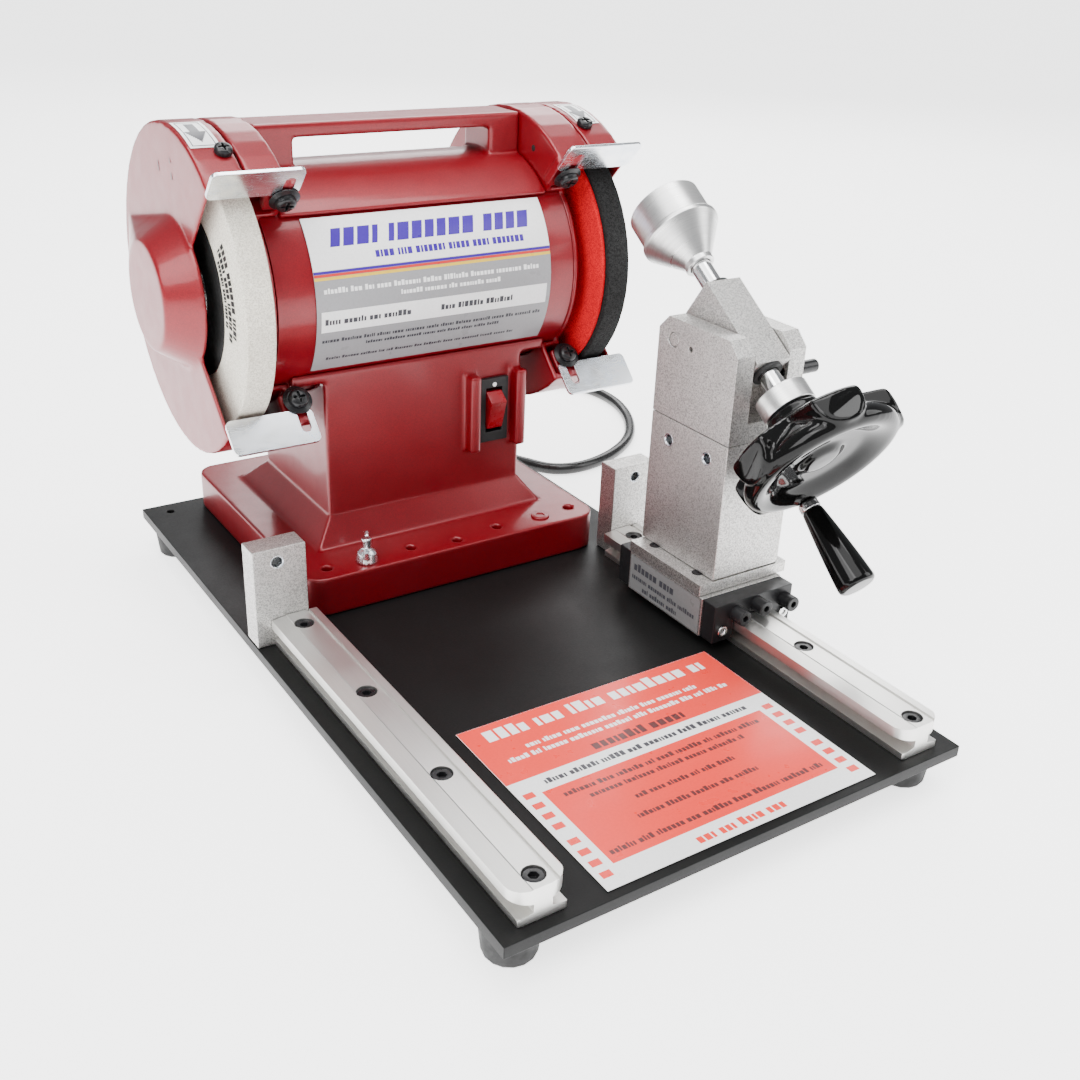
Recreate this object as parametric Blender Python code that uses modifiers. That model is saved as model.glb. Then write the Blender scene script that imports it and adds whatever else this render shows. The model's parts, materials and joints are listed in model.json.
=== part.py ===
"""A bench sharpener for rotary blades: a two-wheel grinder on a flat base plate, two rails in front
of it, and a carriage on the right rail that holds a tilted spindle turned by a handwheel.

All sizes are in millimetres and are measured from the front-left top corner of the base plate, with
+X to the right, +Y to the back and +Z up. The shape helpers turn them into metres. At the end the
whole assembly is moved so that its origin is at the bottom centre of its box, without the cord.
"""

import math

import bmesh
import bpy
from mathutils import Matrix, Vector

MM = 0.001
GAP = 0.3
ORIGIN = (111.28, 181.05, -19.9)

# Base plate, feet and label
PLATE_SIZE = (210.5, 362.1, 5.0)
PLATE_HOLE = (11.9, 352.6, 2.0)
FOOT_INSET = (12.5, 16.0)
FOOT_TOP_RADIUS = 11.2
FOOT_BOTTOM_RADIUS = 9.7
FLOOR_Z = -19.9
LABEL_LOW = (42.2, 3.6)
LABEL_HIGH = (167.0, 104.5)
LABEL_THICKNESS = 0.2

# Rails and stop blocks
RAIL_X = {"left": 17.4, "right": 192.1}
RAIL_Y = (4.6, 201.2)
RAIL_TOP = 13.6
RAIL_HALF_WIDTH = 10.5
RAIL_CORNER = 7.5
RAIL_FOOT_CORNER = 2.5
RAIL_WAIST = 5.8
RAIL_SCREW_FIRST = 11.0
RAIL_SCREW_PITCH = 60.0
RAIL_SCREWS = 4
COUNTERBORE_RADIUS = 4.25
COUNTERBORE_DEPTH = 4.6
STOP_Y = (201.5, 213.1)
STOP_X = {"left": (0.3, 24.0), "right": (186.0, 210.2)}
STOP_TOP = 46.0
STOP_HOLE = {"left": (11.1, 39.4), "right": (198.4, 39.9)}
TAPPED_RADIUS = 2.7
TAPPED_DEPTH = 7.0

# Grinder: the wheel axis runs along X through (WHEEL_Y, WHEEL_Z)
WHEEL_Y = 285.8
WHEEL_Z = 134.0
WHEEL_RADIUS = 62.0
BORE_RADIUS = 6.6
NUT_FLANGE = 3.4
NUT_LENGTH = 5.8
NUT_RADIUS = 11.0
GRINDING_WHEEL_X = (13.0, 25.6)
HONING_WHEEL_X = (191.0, 202.9)
HONING_FACE_X = (188.6, 190.7)
HONING_FACE_RADIUS = 60.0
MOTOR_RADIUS = 50.0
MOTOR_WALL = 3.5
MOTOR_X = (31.3, 179.2)
SHAFT_RADIUS = 8.0
SHAFT_END_RADIUS = 6.2
BEARING_RADIUS = 17.0
STATOR_X = (65.0, 145.0)
STATOR_RADII = (30.0, 46.2)
ROTOR_X = (67.0, 143.0)
ROTOR_RADIUS = 29.4
NAMEPLATE_X = (48.2, 166.1)
NAMEPLATE_ANGLES = (-36.0, 44.0)
NAMEPLATE_THICKNESS = 0.3

# Guards: the opening faces the front, between two angles measured from straight ahead
GUARD_RADIUS = 71.0
COVER_WALL = 2.0
COVER_BACK = 1.8
OPENING_ANGLES = (-44.5, 46.5)
OPENING_HUB_RADIUS = 33.5
HUB_RISE = 13.5
HUB_TOP_RADIUS = 23.5
HUB_TAIL_RADIUS = 67.5
HUB_TAIL_ANGLE = 18.0
INNER_WALL = 2.5
INNER_BORE = 8.6
STEP_RADIUS = 52.5
COVER_X = {"left": (5.5, 23.7), "right": (207.5, 190.3)}
INNER_X = {"left": (24.0, 39.5), "right": (190.0, 171.0)}
WEB_X = {"left": (28.3, 31.0), "right": (182.2, 179.5)}
BOSS_LENGTH = 11.0
GUARD_SCREWS = {"left": (19.0, 253.4, 197.2), "right": (195.7, 256.7, 198.8)}
GUARD_SCREW_HEAD = 3.6
LUG_RADII = (55.5, 70.0)
LUG_THICKNESS = 4.5

# Shields: name, opening edge, screw X and radius, plate X range and radii
SHIELDS = (
    ("upper_left", "upper", (38.0, 65.3), (4.7, 43.4), (68.1, 83.7)),
    ("lower_left", "lower", (40.0, 60.1), (5.8, 44.9), (64.3, 80.5)),
    ("upper_right", "upper", (176.0, 64.3), (168.0, 207.8), (68.8, 84.9)),
    ("lower_right", "lower", (181.0, 60.4), (174.5, 213.6), (63.9, 81.1)),
)
SHIELD_THICKNESS = 1.5
SHIELD_CORNER = 2.5
SLOT_WIDTH = 4.6
SLOT_END_MARGIN = 5.0
SHIELD_SCREW_RADIUS = 1.9
WASHER_RADIUS = 6.0
SCREW_HEAD_RADIUS = 4.0

# Carrying frame over the motor
FRAME_X = (39.8, 170.7)
SADDLE_RADII = (50.3, 52.6)
SADDLE_ANGLES = (45.2, 134.8)
HANDLE_Y = (274.0, 297.5)
HANDLE_Z = (197.5, 203.5)
HANDLE_WINDOW_X = (57.5, 154.5)

# Pedestal
FLANGE_LOW = (29.0, 212.4)
FLANGE_HIGH = (185.6, 359.0)
FLANGE_TOP = 19.0
FLANGE_CORNER = 10.0
SKIRT_LOW = ((45.0, 238.3), (168.3, 337.8))
SKIRT_HIGH = ((54.8, 245.9), (158.1, 322.4))
SKIRT_TOP = 32.0
NECK_LOW = (55.0, 246.0)
NECK_HIGH = (158.0, 322.4)
NECK_TOP = 99.8
LIP_Z = (97.0, 103.3)
LIP_Y = (246.0, 325.6)
CAVITY_LOW = (61.0, 252.0)
CAVITY_HIGH = (152.0, 316.0)
CAVITY_TOP = 78.0
FLANGE_HOLES = ((42.3, 222.5), (85.1, 222.9), (108.1, 219.5), (132.2, 222.9), (175.2, 224.5))
FLANGE_HOLE_RADIUS = 2.6
SWITCH_FINS = ((126.7, 132.0), (151.9, 157.2))
FIN_Z = (51.5, 90.0)
FIN_REACH = 7.0

# Switch on the front of the pedestal
BEZEL_X = (133.9, 149.6)
BEZEL_Z = (54.6, 86.8)
BEZEL_PROUD = 2.0
SWITCH_BODY_DEPTH = 16.0
SWITCH_BODY_INSET = 2.0
ROCKER_PIVOT = (249.0, 70.7)
ROCKER_HALF_HEIGHT = 9.4
ROCKER_ROOM = 1.8
ROCKER_OUTLINE = (
    (-5.6, -9.2),
    (-6.2, -9.0),
    (-10.3, 5.3),
    (-5.0, ROCKER_HALF_HEIGHT),
    (0.5, 9.0),
    (3.0, 0.0),
    (0.5, -8.0),
)
ROCKER_POCKET_INSET = 3.3

# Wing screw on the flange
WING_SCREW = (61.0, 220.0)
WING_TURN = math.radians(64.0)

# Carriage, adapter and post
CAP_FRONT_Y = (103.2, 111.4)
BODY_Y = (111.7, 163.8)
CAP_REAR_Y = (164.1, 172.3)
CAP_HALF_WIDTH = 22.5
BODY_HALF_WIDTH = 23.0
CARRIAGE_Z = (3.9, 22.5)
CHANNEL_HALF_WIDTH = 11.0
CHANNEL_TOP = 14.0
ADAPTER_LOW = (169.1, 113.9, 22.8)
ADAPTER_HIGH = (219.3, 164.6, 28.0)
POST_X = (176.6, 214.3)
POST_Y = (114.3, 165.6)
POST_SEAM = 91.0
POST_TOP = 135.5
POST_CHAMFER = 6.0
FORK_X = (186.1, 205.2)
FORK_FLOOR = 100.0
POST_HOLES = ((152.8, 81.0), (127.0, 81.5))
PIVOT_SCREW_HOLE = (143.7, 125.0, 1.3, 4.0)
PIVOT = (155.3, 126.0)
PIVOT_RADIUS = 3.0
LOCK = (118.0, 118.8)
LOCK_HEAD_X = (214.6, 224.5)
LOCK_RADIUS = 1.9
LOCK_HEAD_RADIUS = 2.9
LOCK_HOLE_RADIUS = 2.2

# Spindle: local Z runs down its axis to the front, from a point at the collar's front face
SPINDLE_POINT = (195.6, 99.8, 108.7)
SPINDLE_SLOPE = 34.8
SPINDLE_RADIUS = 4.5
SPINDLE_BORE = 4.8
HOUSING_HALF_WIDTH = 9.2
HOUSING_OUTLINE = (
    (7.0, -65.0),
    (7.0, -21.0),
    (-11.0, -21.0),
    (-25.0, -38.0),
    (-25.0, -60.0),
    (-20.0, -65.0),
)
COLLAR_Z = (-9.3, 0.0)
COLLAR_RADIUS = 11.6
WHEEL_DISH = (
    (0.0, 22.4),
    (SPINDLE_BORE, 22.4),
    (SPINDLE_BORE, GAP),
    (12.0, GAP),
    (12.0, 4.8),
    (15.0, 8.0),
    (28.0, 16.5),
    (32.4, 19.5),
    (34.4, 22.5),
    (34.6, 25.0),
    (33.6, 27.2),
    (31.6, 28.3),
    (28.6, 28.3),
    (25.0, 26.6),
    (20.0, 23.4),
    (10.0, 22.8),
    (8.0, 25.2),
    (0.0, 25.5),
)
LOBES = 5
LOBE_FIRST = 178.0
LOBE_DISC = (
    (0.0, 5.0),
    (12.0, 5.0),
    (35.0, 12.6),
    (36.5, 14.0),
    (36.5, 27.0),
    (31.0, 26.6),
    (14.0, 20.0),
    (0.0, 20.0),
)
LOBE_HALF_WIDTH = 11.0
LOBE_FRONT = 27.0
HANDLE_OFFSET = (10.0, -29.5)

# Mains cord
CORD_RADIUS = 3.4
RELIEF_Y = (322.7, 349.0)
RELIEF_X = 120.0
RELIEF_Z = 50.0
CORD_Z = FLOOR_Z + CORD_RADIUS + 0.1
CORD_ROUTE = (
    (120.0, 349.8, 50.0),
    (120.0, 361.0, 49.6),
    (121.0, 372.0, 43.0),
    (124.0, 381.0, 29.0),
    (128.0, 388.0, 12.0),
    (135.0, 396.0, -5.0),
    (147.0, 402.0, -14.5),
    (165.0, 404.0, CORD_Z),
    (186.0, 400.0, CORD_Z),
    (206.0, 388.0, CORD_Z),
    (222.0, 371.0, CORD_Z),
    (232.0, 353.0, CORD_Z),
    (240.0, 339.0, CORD_Z),
    (252.0, 332.5, CORD_Z),
    (268.0, 332.5, CORD_Z),
    (286.0, 338.0, CORD_Z),
    (303.0, 347.5, CORD_Z),
    (318.0, 360.5, CORD_Z),
    (331.0, 378.0, CORD_Z),
    (340.5, 397.0, CORD_Z),
    (346.0, 417.0, CORD_Z),
    (346.0, 438.0, CORD_Z),
    (339.0, 459.0, CORD_Z),
    (324.0, 477.0, CORD_Z),
    (303.0, 489.0, CORD_Z),
    (279.0, 494.5, CORD_Z),
    (255.0, 495.5, CORD_Z),
    (231.0, 495.5, CORD_Z),
)
CORD_POINT_SPACING = 14.0
COIL_CENTRE = (205.0, 455.0)
COIL_RADII = (30.2, 44.0)
COIL_Z = (FLOOR_Z + 0.2, FLOOR_Z + 19.4)
CORD_TAIL_X = 205.0
PLUG_POINT = (176.0, 503.5)
PLUG_RELIEF = 26.0
PLUG_RELIEF_RADII = (4.4, 5.6)
PLUG_BODY = (34.0, 24.0, 19.0)
BLADE_LENGTH = 16.0
BLADE_OFFSET = 6.35
BLADE_HALF_THICKNESS = 0.8
BLADE_Z = (-1.0, 5.3)
GROUND_PIN_DROP = 5.0
GROUND_PIN_RADIUS = 2.4

FINE = 48
MEDIUM = 32
COARSE = 16
SMALL = 10
ALONG_X = (0.0, math.radians(90), 0.0)
ALONG_Y = (math.radians(-90), 0.0, 0.0)
UPRIGHT = (0.0, 0.0, 0.0)

FINISHES = {
    "black_plate": ((0.02, 0.02, 0.022), 0.5, 0.3),
    "rubber": ((0.02, 0.02, 0.02), 0.8, 0.0),
    "label": ((0.85, 0.25, 0.16), 0.5, 0.0),
    "aluminium": ((0.72, 0.71, 0.69), 0.4, 1.0),
    "red_paint": ((0.35, 0.01, 0.02), 0.3, 0.3),
    "nameplate": ((0.72, 0.72, 0.72), 0.35, 0.6),
    "steel": ((0.6, 0.6, 0.6), 0.3, 1.0),
    "zinc": ((0.75, 0.78, 0.8), 0.3, 1.0),
    "black_screw": ((0.02, 0.02, 0.02), 0.4, 0.5),
    "stone": ((0.82, 0.79, 0.7), 0.9, 0.0),
    "black_wheel": ((0.04, 0.04, 0.04), 0.8, 0.0),
    "red_felt": ((0.8, 0.05, 0.03), 0.9, 0.0),
    "copper_core": ((0.5, 0.25, 0.12), 0.5, 0.8),
    "black_plastic": ((0.015, 0.015, 0.015), 0.35, 0.0),
    "red_plastic": ((0.6, 0.01, 0.01), 0.35, 0.0),
    "gloss_black": ((0.01, 0.01, 0.01), 0.08, 0.0),
    "cord": ((0.015, 0.015, 0.015), 0.5, 0.0),
}


def clear_scene():
    for obj in list(bpy.data.objects):
        bpy.data.objects.remove(obj, do_unlink=True)


def new_collection(name):
    collection = bpy.data.collections.new(name)
    bpy.context.scene.collection.children.link(collection)
    return collection


clear_scene()
PARTS = new_collection("bench_sharpener")
CUTTERS = new_collection("cutters")


def finish_material(name):
    found = bpy.data.materials.get(name)
    if found:
        return found
    color, roughness, metallic = FINISHES[name]
    made = bpy.data.materials.new(name)
    made.use_nodes = True
    shader = made.node_tree.nodes["Principled BSDF"]
    shader.inputs["Base Color"].default_value = (*color, 1.0)
    shader.inputs["Roughness"].default_value = roughness
    shader.inputs["Metallic"].default_value = metallic
    return made


def metres(point):
    return Vector(point) * MM


def add_object(name, mesh, finish, location=(0, 0, 0), rotation=UPRIGHT, parent=None):
    """Links a mesh as a part or, where finish is None, as a helper for a Boolean."""
    obj = bpy.data.objects.new(name, mesh)
    obj.location = metres(location)
    obj.rotation_euler = rotation
    obj.parent = parent
    if finish:
        mesh.materials.append(finish_material(finish))
        PARTS.objects.link(obj)
    else:
        CUTTERS.objects.link(obj)
        hide_helper(obj)
    return obj


def hide_helper(obj):
    obj.hide_render = True
    obj.display_type = "WIRE"


def mesh_from(name, bm):
    mesh = bpy.data.meshes.new(name)
    bm.to_mesh(mesh)
    bm.free()
    return mesh


def block(name, low, high, finish=None, parent=None):
    size = Vector(high) - Vector(low)
    bm = bmesh.new()
    bmesh.ops.create_cube(bm, size=1.0, matrix=Matrix.Diagonal((*metres(size), 1.0)))
    centre = (Vector(high) + Vector(low)) / 2
    return add_object(name, mesh_from(name, bm), finish, centre, UPRIGHT, parent)


def tapered_block(name, low_rectangle, high_rectangle, z_range, finish=None):
    """A block whose bottom and top are different rectangles."""
    bm = bmesh.new()
    bmesh.ops.create_cube(bm, size=2.0)
    for vert in bm.verts:
        (x0, y0), (x1, y1) = high_rectangle if vert.co.z > 0 else low_rectangle
        x = x1 if vert.co.x > 0 else x0
        y = y1 if vert.co.y > 0 else y0
        z = z_range[1] if vert.co.z > 0 else z_range[0]
        vert.co = metres((x, y, z))
    return add_object(name, mesh_from(name, bm), finish)


def turned(name, profile, finish=None, steps=MEDIUM, parent=None, location=(0, 0, 0), rotation=UPRIGHT):
    """A body of revolution about local Z from (radius, z) points, closed or from axis to axis."""
    points = list(profile)
    following = points[1:] + points[:1]
    area = sum(r0 * z1 - r1 * z0 for (r0, z0), (r1, z1) in zip(points, following))
    if area > 0:
        points.reverse()
    bm = bmesh.new()
    verts = [bm.verts.new(metres((r, 0.0, z))) for r, z in points]
    for first, second in zip(verts, verts[1:]):
        bm.edges.new((first, second))
    if points[0][0] > 0 or points[-1][0] > 0:
        bm.edges.new((verts[-1], verts[0]))
    obj = add_object(name, mesh_from(name, bm), finish, location, rotation, parent)
    screw = obj.modifiers.new("Screw", "SCREW")
    screw.axis = "Z"
    screw.steps = steps
    screw.render_steps = steps
    screw.use_merge_vertices = True
    screw.merge_threshold = 0.00001
    screw.use_smooth_shade = True
    return obj


def rod(name, start, end, radius, finish=None, steps=SMALL, parent=None):
    """A straight cylinder between two points."""
    span = Vector(end) - Vector(start)
    bm = bmesh.new()
    bmesh.ops.create_cone(
        bm,
        cap_ends=True,
        segments=steps,
        radius1=radius * MM,
        radius2=radius * MM,
        depth=span.length * MM,
    )
    centre = (Vector(start) + Vector(end)) / 2
    turn = span.to_track_quat("Z", "Y").to_euler()
    return add_object(name, mesh_from(name, bm), finish, centre, turn, parent)


def mesh_of_curve(curve):
    """The evaluated mesh of a curve object, welded and with its faces pointing out."""
    bpy.context.view_layer.update()
    graph = bpy.context.evaluated_depsgraph_get()
    mesh = bpy.data.meshes.new_from_object(curve.evaluated_get(graph))
    bm = bmesh.new()
    bm.from_mesh(mesh)
    bmesh.ops.remove_doubles(bm, verts=bm.verts, dist=0.000001)
    bmesh.ops.recalc_face_normals(bm, faces=bm.faces)
    bm.to_mesh(mesh)
    bm.free()
    bpy.data.objects.remove(curve, do_unlink=True)
    return mesh


def prism(name, outline, span, finish=None, plane="XY", parent=None):
    """A flat outline pushed along the axis across its plane, from span[0] to span[1]."""
    curve = bpy.data.curves.new(name, "CURVE")
    curve.dimensions = "2D"
    curve.fill_mode = "BOTH"
    curve.extrude = abs(span[1] - span[0]) / 2 * MM
    spline = curve.splines.new("POLY")
    spline.points.add(len(outline) - 1)
    for point, (u, v) in zip(spline.points, outline):
        point.co = (u * MM, v * MM, 0.0, 1.0)
    spline.use_cyclic_u = True
    guide = bpy.data.objects.new(name + "_guide", curve)
    CUTTERS.objects.link(guide)
    mesh = mesh_of_curve(guide)
    middle = (span[0] + span[1]) / 2
    quarter = math.radians(90)
    if plane == "XY":
        location, rotation = (0, 0, middle), UPRIGHT
    elif plane == "XZ":
        location, rotation = (0, middle, 0), (quarter, 0, 0)
    else:
        location, rotation = (middle, 0, 0), (quarter, 0, quarter)
    return add_object(name, mesh, finish, location, rotation, parent)


def boolean(target, helpers, operation):
    for helper in helpers:
        modifier = target.modifiers.new(helper.name, "BOOLEAN")
        modifier.operation = operation
        modifier.solver = "EXACT"
        modifier.object = helper
    return target


def cut(target, *helpers):
    return boolean(target, helpers, "DIFFERENCE")


def join(target, *helpers):
    return boolean(target, helpers, "UNION")


def keep_inside(target, helper):
    return boolean(target, (helper,), "INTERSECT")


def empty(name, location, rotation):
    obj = bpy.data.objects.new(name, None)
    obj.location = metres(location)
    obj.rotation_euler = rotation
    PARTS.objects.link(obj)
    return obj


def arc(centre, radius, start, end, steps):
    """Points on a circle, angles in degrees."""
    points = []
    for i in range(steps + 1):
        angle = math.radians(start + (end - start) * i / steps)
        points.append((centre[0] + radius * math.cos(angle), centre[1] + radius * math.sin(angle)))
    return points


def rounded_rectangle(low, high, radius, steps=6):
    (x0, y0), (x1, y1) = low, high
    corners = (
        ((x1 - radius, y0 + radius), -90),
        ((x1 - radius, y1 - radius), 0),
        ((x0 + radius, y1 - radius), 90),
        ((x0 + radius, y0 + radius), 180),
    )
    points = []
    for centre, start in corners:
        points += arc(centre, radius, start, start + 90, steps)
    return points


def ahead(angle):
    """The angle in the motor axis frame's XY plane of a direction given up from straight ahead."""
    return -90.0 - angle


def sector(radii, angles, steps):
    """A ring sector in the motor axis frame, between two angles up from straight ahead."""
    start, end = ahead(angles[0]), ahead(angles[1])
    return arc((0, 0), radii[1], start, end, steps) + arc((0, 0), radii[0], end, start, steps)


def base_plate():
    width, depth, thickness = PLATE_SIZE
    plate = block("base_plate", (0, 0, -thickness), (width, depth, 0), "black_plate")
    x, y, radius = PLATE_HOLE
    cut(plate, rod("plate_hole", (x, y, -thickness - 1), (x, y, 1), radius))


def feet():
    width, depth, thickness = PLATE_SIZE
    inset_x, inset_y = FOOT_INSET
    top = -thickness - GAP
    profile = (
        (0.0, top),
        (FOOT_TOP_RADIUS, top),
        (FOOT_BOTTOM_RADIUS, FLOOR_Z + 1.0),
        (FOOT_BOTTOM_RADIUS - 1.0, FLOOR_Z),
        (0.0, FLOOR_Z),
    )
    for side, x in (("left", inset_x), ("right", width - inset_x)):
        for end, y in (("front", inset_y), ("rear", depth - inset_y)):
            turned(f"foot_{end}_{side}", profile, "rubber", COARSE, location=(x, y, 0))


def safety_label():
    low = (*LABEL_LOW, GAP)
    high = (*LABEL_HIGH, GAP + LABEL_THICKNESS)
    block("safety_label", low, high, "label")


def rail_outline(centre):
    half = RAIL_HALF_WIDTH
    side = ((9.5, GAP), (9.5, 3.0), (3.6, 4.2), (3.6, 7.4), (half, 8.2))
    top = ((half, 13.1), (half - 0.5, RAIL_TOP), (6.6, RAIL_TOP), (6.4, 12.7), (5.2, 12.7), (5.0, RAIL_TOP))
    slope = ((-3.9, RAIL_TOP), (-4.2, 13.3), (-half, 12.5))
    right = [(centre + x, z) for x, z in side + top + slope]
    left = [(centre - x, z) for x, z in reversed(side)]
    return right + left


def rail(side):
    centre = RAIL_X[side]
    front, back = RAIL_Y
    name = f"rail_{side}"
    body = prism(name, rail_outline(centre), RAIL_Y, "aluminium", "XZ")
    low, high = (centre - RAIL_HALF_WIDTH, front), (centre + RAIL_HALF_WIDTH, back + 20)
    flange, foot = (rounded_rectangle(low, high, radius) for radius in (RAIL_CORNER, RAIL_FOOT_CORNER))
    plan = prism(f"{name}_flange_plan", flange, (RAIL_WAIST, RAIL_TOP + 1))
    keep_inside(body, join(plan, prism(f"{name}_foot_plan", foot, (-1.0, RAIL_WAIST + 1))))
    for i in range(RAIL_SCREWS):
        y = RAIL_SCREW_FIRST + i * RAIL_SCREW_PITCH
        bottom, top = (centre, y, RAIL_TOP - COUNTERBORE_DEPTH), (centre, y, RAIL_TOP + 1)
        cut(body, rod(f"{name}_counterbore_{i}", bottom, top, COUNTERBORE_RADIUS, steps=16))


def stop_block(side):
    x0, x1 = STOP_X[side]
    y0, y1 = STOP_Y
    body = block(f"stop_block_{side}", (x0, y0, GAP), (x1, y1, STOP_TOP), "aluminium")
    x, z = STOP_HOLE[side]
    cut(body, rod(f"stop_hole_{side}", (x, y0 - 1, z), (x, y0 + TAPPED_DEPTH, z), TAPPED_RADIUS))


def pedestal():
    flange = rounded_rectangle(FLANGE_LOW, FLANGE_HIGH, FLANGE_CORNER, 5)
    body = prism("pedestal", flange, (GAP, FLANGE_TOP), "red_paint")
    lip_left, lip_right = FRAME_X
    join(
        body,
        tapered_block("pedestal_skirt", SKIRT_LOW, SKIRT_HIGH, (FLANGE_TOP - 1, SKIRT_TOP)),
        block("pedestal_neck", (*NECK_LOW, SKIRT_TOP - 1), (*NECK_HIGH, NECK_TOP)),
        block("pedestal_lip", (lip_left, LIP_Y[0], LIP_Z[0]), (lip_right, LIP_Y[1], LIP_Z[1])),
    )
    front = NECK_LOW[1]
    for i, (x0, x1) in enumerate(SWITCH_FINS):
        join(body, block(f"switch_fin_{i}", (x0, front - FIN_REACH, FIN_Z[0]), (x1, front + 1, FIN_Z[1])))
    clearance = MOTOR_RADIUS + GAP
    seat = rod("motor_seat", (0, WHEEL_Y, WHEEL_Z), (220, WHEEL_Y, WHEEL_Z), clearance, steps=FINE)
    cavity = block("pedestal_cavity", (*CAVITY_LOW, -1), (*CAVITY_HIGH, CAVITY_TOP))
    inset = SWITCH_BODY_INSET - GAP
    window_low = (BEZEL_X[0] + inset, front - 2, BEZEL_Z[0] + inset)
    window_high = (BEZEL_X[1] - inset, front + SWITCH_BODY_DEPTH + 1, BEZEL_Z[1] - inset)
    cut(body, seat, cavity, block("switch_window", window_low, window_high))
    for i, (x, y) in enumerate(FLANGE_HOLES + (WING_SCREW,)):
        cut(body, rod(f"flange_hole_{i}", (x, y, 5), (x, y, FLANGE_TOP + 1), FLANGE_HOLE_RADIUS))


def switch():
    front = NECK_LOW[1]
    bezel = block(
        "switch_bezel",
        (BEZEL_X[0], front - GAP - BEZEL_PROUD, BEZEL_Z[0]),
        (BEZEL_X[1], front - GAP, BEZEL_Z[1]),
        "black_plastic",
    )
    inset = SWITCH_BODY_INSET
    back = front + SWITCH_BODY_DEPTH
    body_low = (BEZEL_X[0] + inset, front - 1, BEZEL_Z[0] + inset)
    body_high = (BEZEL_X[1] - inset, back, BEZEL_Z[1] - inset)
    join(bezel, block("switch_body", body_low, body_high))
    pocket = ROCKER_POCKET_INSET
    reach = ROCKER_HALF_HEIGHT + ROCKER_ROOM
    pocket_low = (BEZEL_X[0] + pocket, front - 4, ROCKER_PIVOT[1] - reach)
    pocket_high = (BEZEL_X[1] - pocket, back - 6, ROCKER_PIVOT[1] + reach)
    cut(bezel, block("rocker_pocket", pocket_low, pocket_high))
    pivot_y, pivot_z = ROCKER_PIVOT
    hinge = empty("rocker_hinge", (0, pivot_y, pivot_z), UPRIGHT)
    span = (BEZEL_X[0] + pocket + GAP, BEZEL_X[1] - pocket - GAP)
    prism("switch_rocker", ROCKER_OUTLINE, span, "red_plastic", "YZ", hinge)


def wing_screw():
    x, y = WING_SCREW
    radius = FLANGE_HOLE_RADIUS - GAP
    base = FLANGE_TOP + GAP
    profile = (
        (0.0, 7.0),
        (radius, 7.0),
        (radius, base),
        (5.2, base),
        (4.4, base + 4.5),
        (3.0, base + 6.0),
        (radius, base + 6.5),
        (radius, base + 11.5),
        (0.0, base + 12.0),
    )
    body = turned("wing_screw", profile, "zinc", COARSE, location=(x, y, 0))
    frame = empty("wing_frame", (x, y, 0), (0.0, 0.0, WING_TURN))
    for name, side in (("wing_left", -1), ("wing_right", 1)):
        wing = ((side * 2.0, base + 1.5), (side * 5.5, base + 3.5), (side * 10.0, base + 8.5))
        wing += ((side * 9.0, base + 11.0), (side * 6.0, base + 10.0), (side * 2.0, base + 5.5))
        join(body, prism(name, wing, (-0.9, 0.9), plane="XZ", parent=frame))


def motor(axis):
    outer = MOTOR_RADIUS
    inner = outer - MOTOR_WALL
    x0, x1 = MOTOR_X
    tube = ((inner, x0), (outer, x0), (outer, x1), (inner, x1))
    turned("motor_housing", tube, "red_paint", FINE, axis)
    s0, s1 = STATOR_X
    ring = ((STATOR_RADII[0], s0), (STATOR_RADII[1], s0), (STATOR_RADII[1], s1), (STATOR_RADII[0], s1))
    turned("stator_core", ring, "copper_core", MEDIUM, axis)
    r0, r1 = ROTOR_X
    bore = SHAFT_RADIUS + GAP
    core = ((bore, r0), (ROTOR_RADIUS, r0), (ROTOR_RADIUS, r1), (bore, r1))
    turned("rotor_core", core, "steel", MEDIUM, axis)
    thickness = NAMEPLATE_THICKNESS
    radii = (outer + GAP, outer + GAP + thickness)
    prism("nameplate", sector(radii, NAMEPLATE_ANGLES, 18), NAMEPLATE_X, "nameplate", parent=axis)


def motor_shaft(axis):
    end, mid, flange = SHAFT_END_RADIUS, SHAFT_RADIUS, 17.0
    left_flange = GRINDING_WHEEL_X[1] + GAP
    right_flange = HONING_FACE_X[0] - GAP
    profile = (
        (0.0, 1.5),
        (end, 1.5),
        (end, left_flange),
        (flange, left_flange),
        (flange, left_flange + 2.0),
        (mid, left_flange + 2.0),
        (mid, right_flange - 5.5),
        (flange, right_flange - 5.5),
        (flange, right_flange),
        (end, right_flange),
        (end, 214.5),
        (0.0, 214.5),
    )
    turned("motor_shaft", profile, "steel", 24, axis)


def bearings(axis):
    for side, start, step in (("left", WEB_X["left"][1], 1), ("right", WEB_X["right"][1], -1)):
        near = start + step * GAP
        far = start + step * BOSS_LENGTH
        bore = SHAFT_RADIUS + GAP
        ring = ((bore, near), (BEARING_RADIUS, near), (BEARING_RADIUS, far), (bore, far))
        turned(f"bearing_{side}", ring, "steel", COARSE, axis)


def disc(name, x_range, radius, finish, axis, steps=FINE):
    x0, x1 = x_range
    ring = ((BORE_RADIUS, x0), (radius, x0), (radius, x1), (BORE_RADIUS, x1))
    turned(name, ring, finish, steps, axis)


def wheels(axis):
    disc("grinding_wheel", GRINDING_WHEEL_X, WHEEL_RADIUS, "stone", axis)
    disc("honing_wheel", HONING_WHEEL_X, WHEEL_RADIUS, "black_wheel", axis)
    disc("honing_wheel_face", HONING_FACE_X, HONING_FACE_RADIUS, "red_felt", axis)


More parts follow.
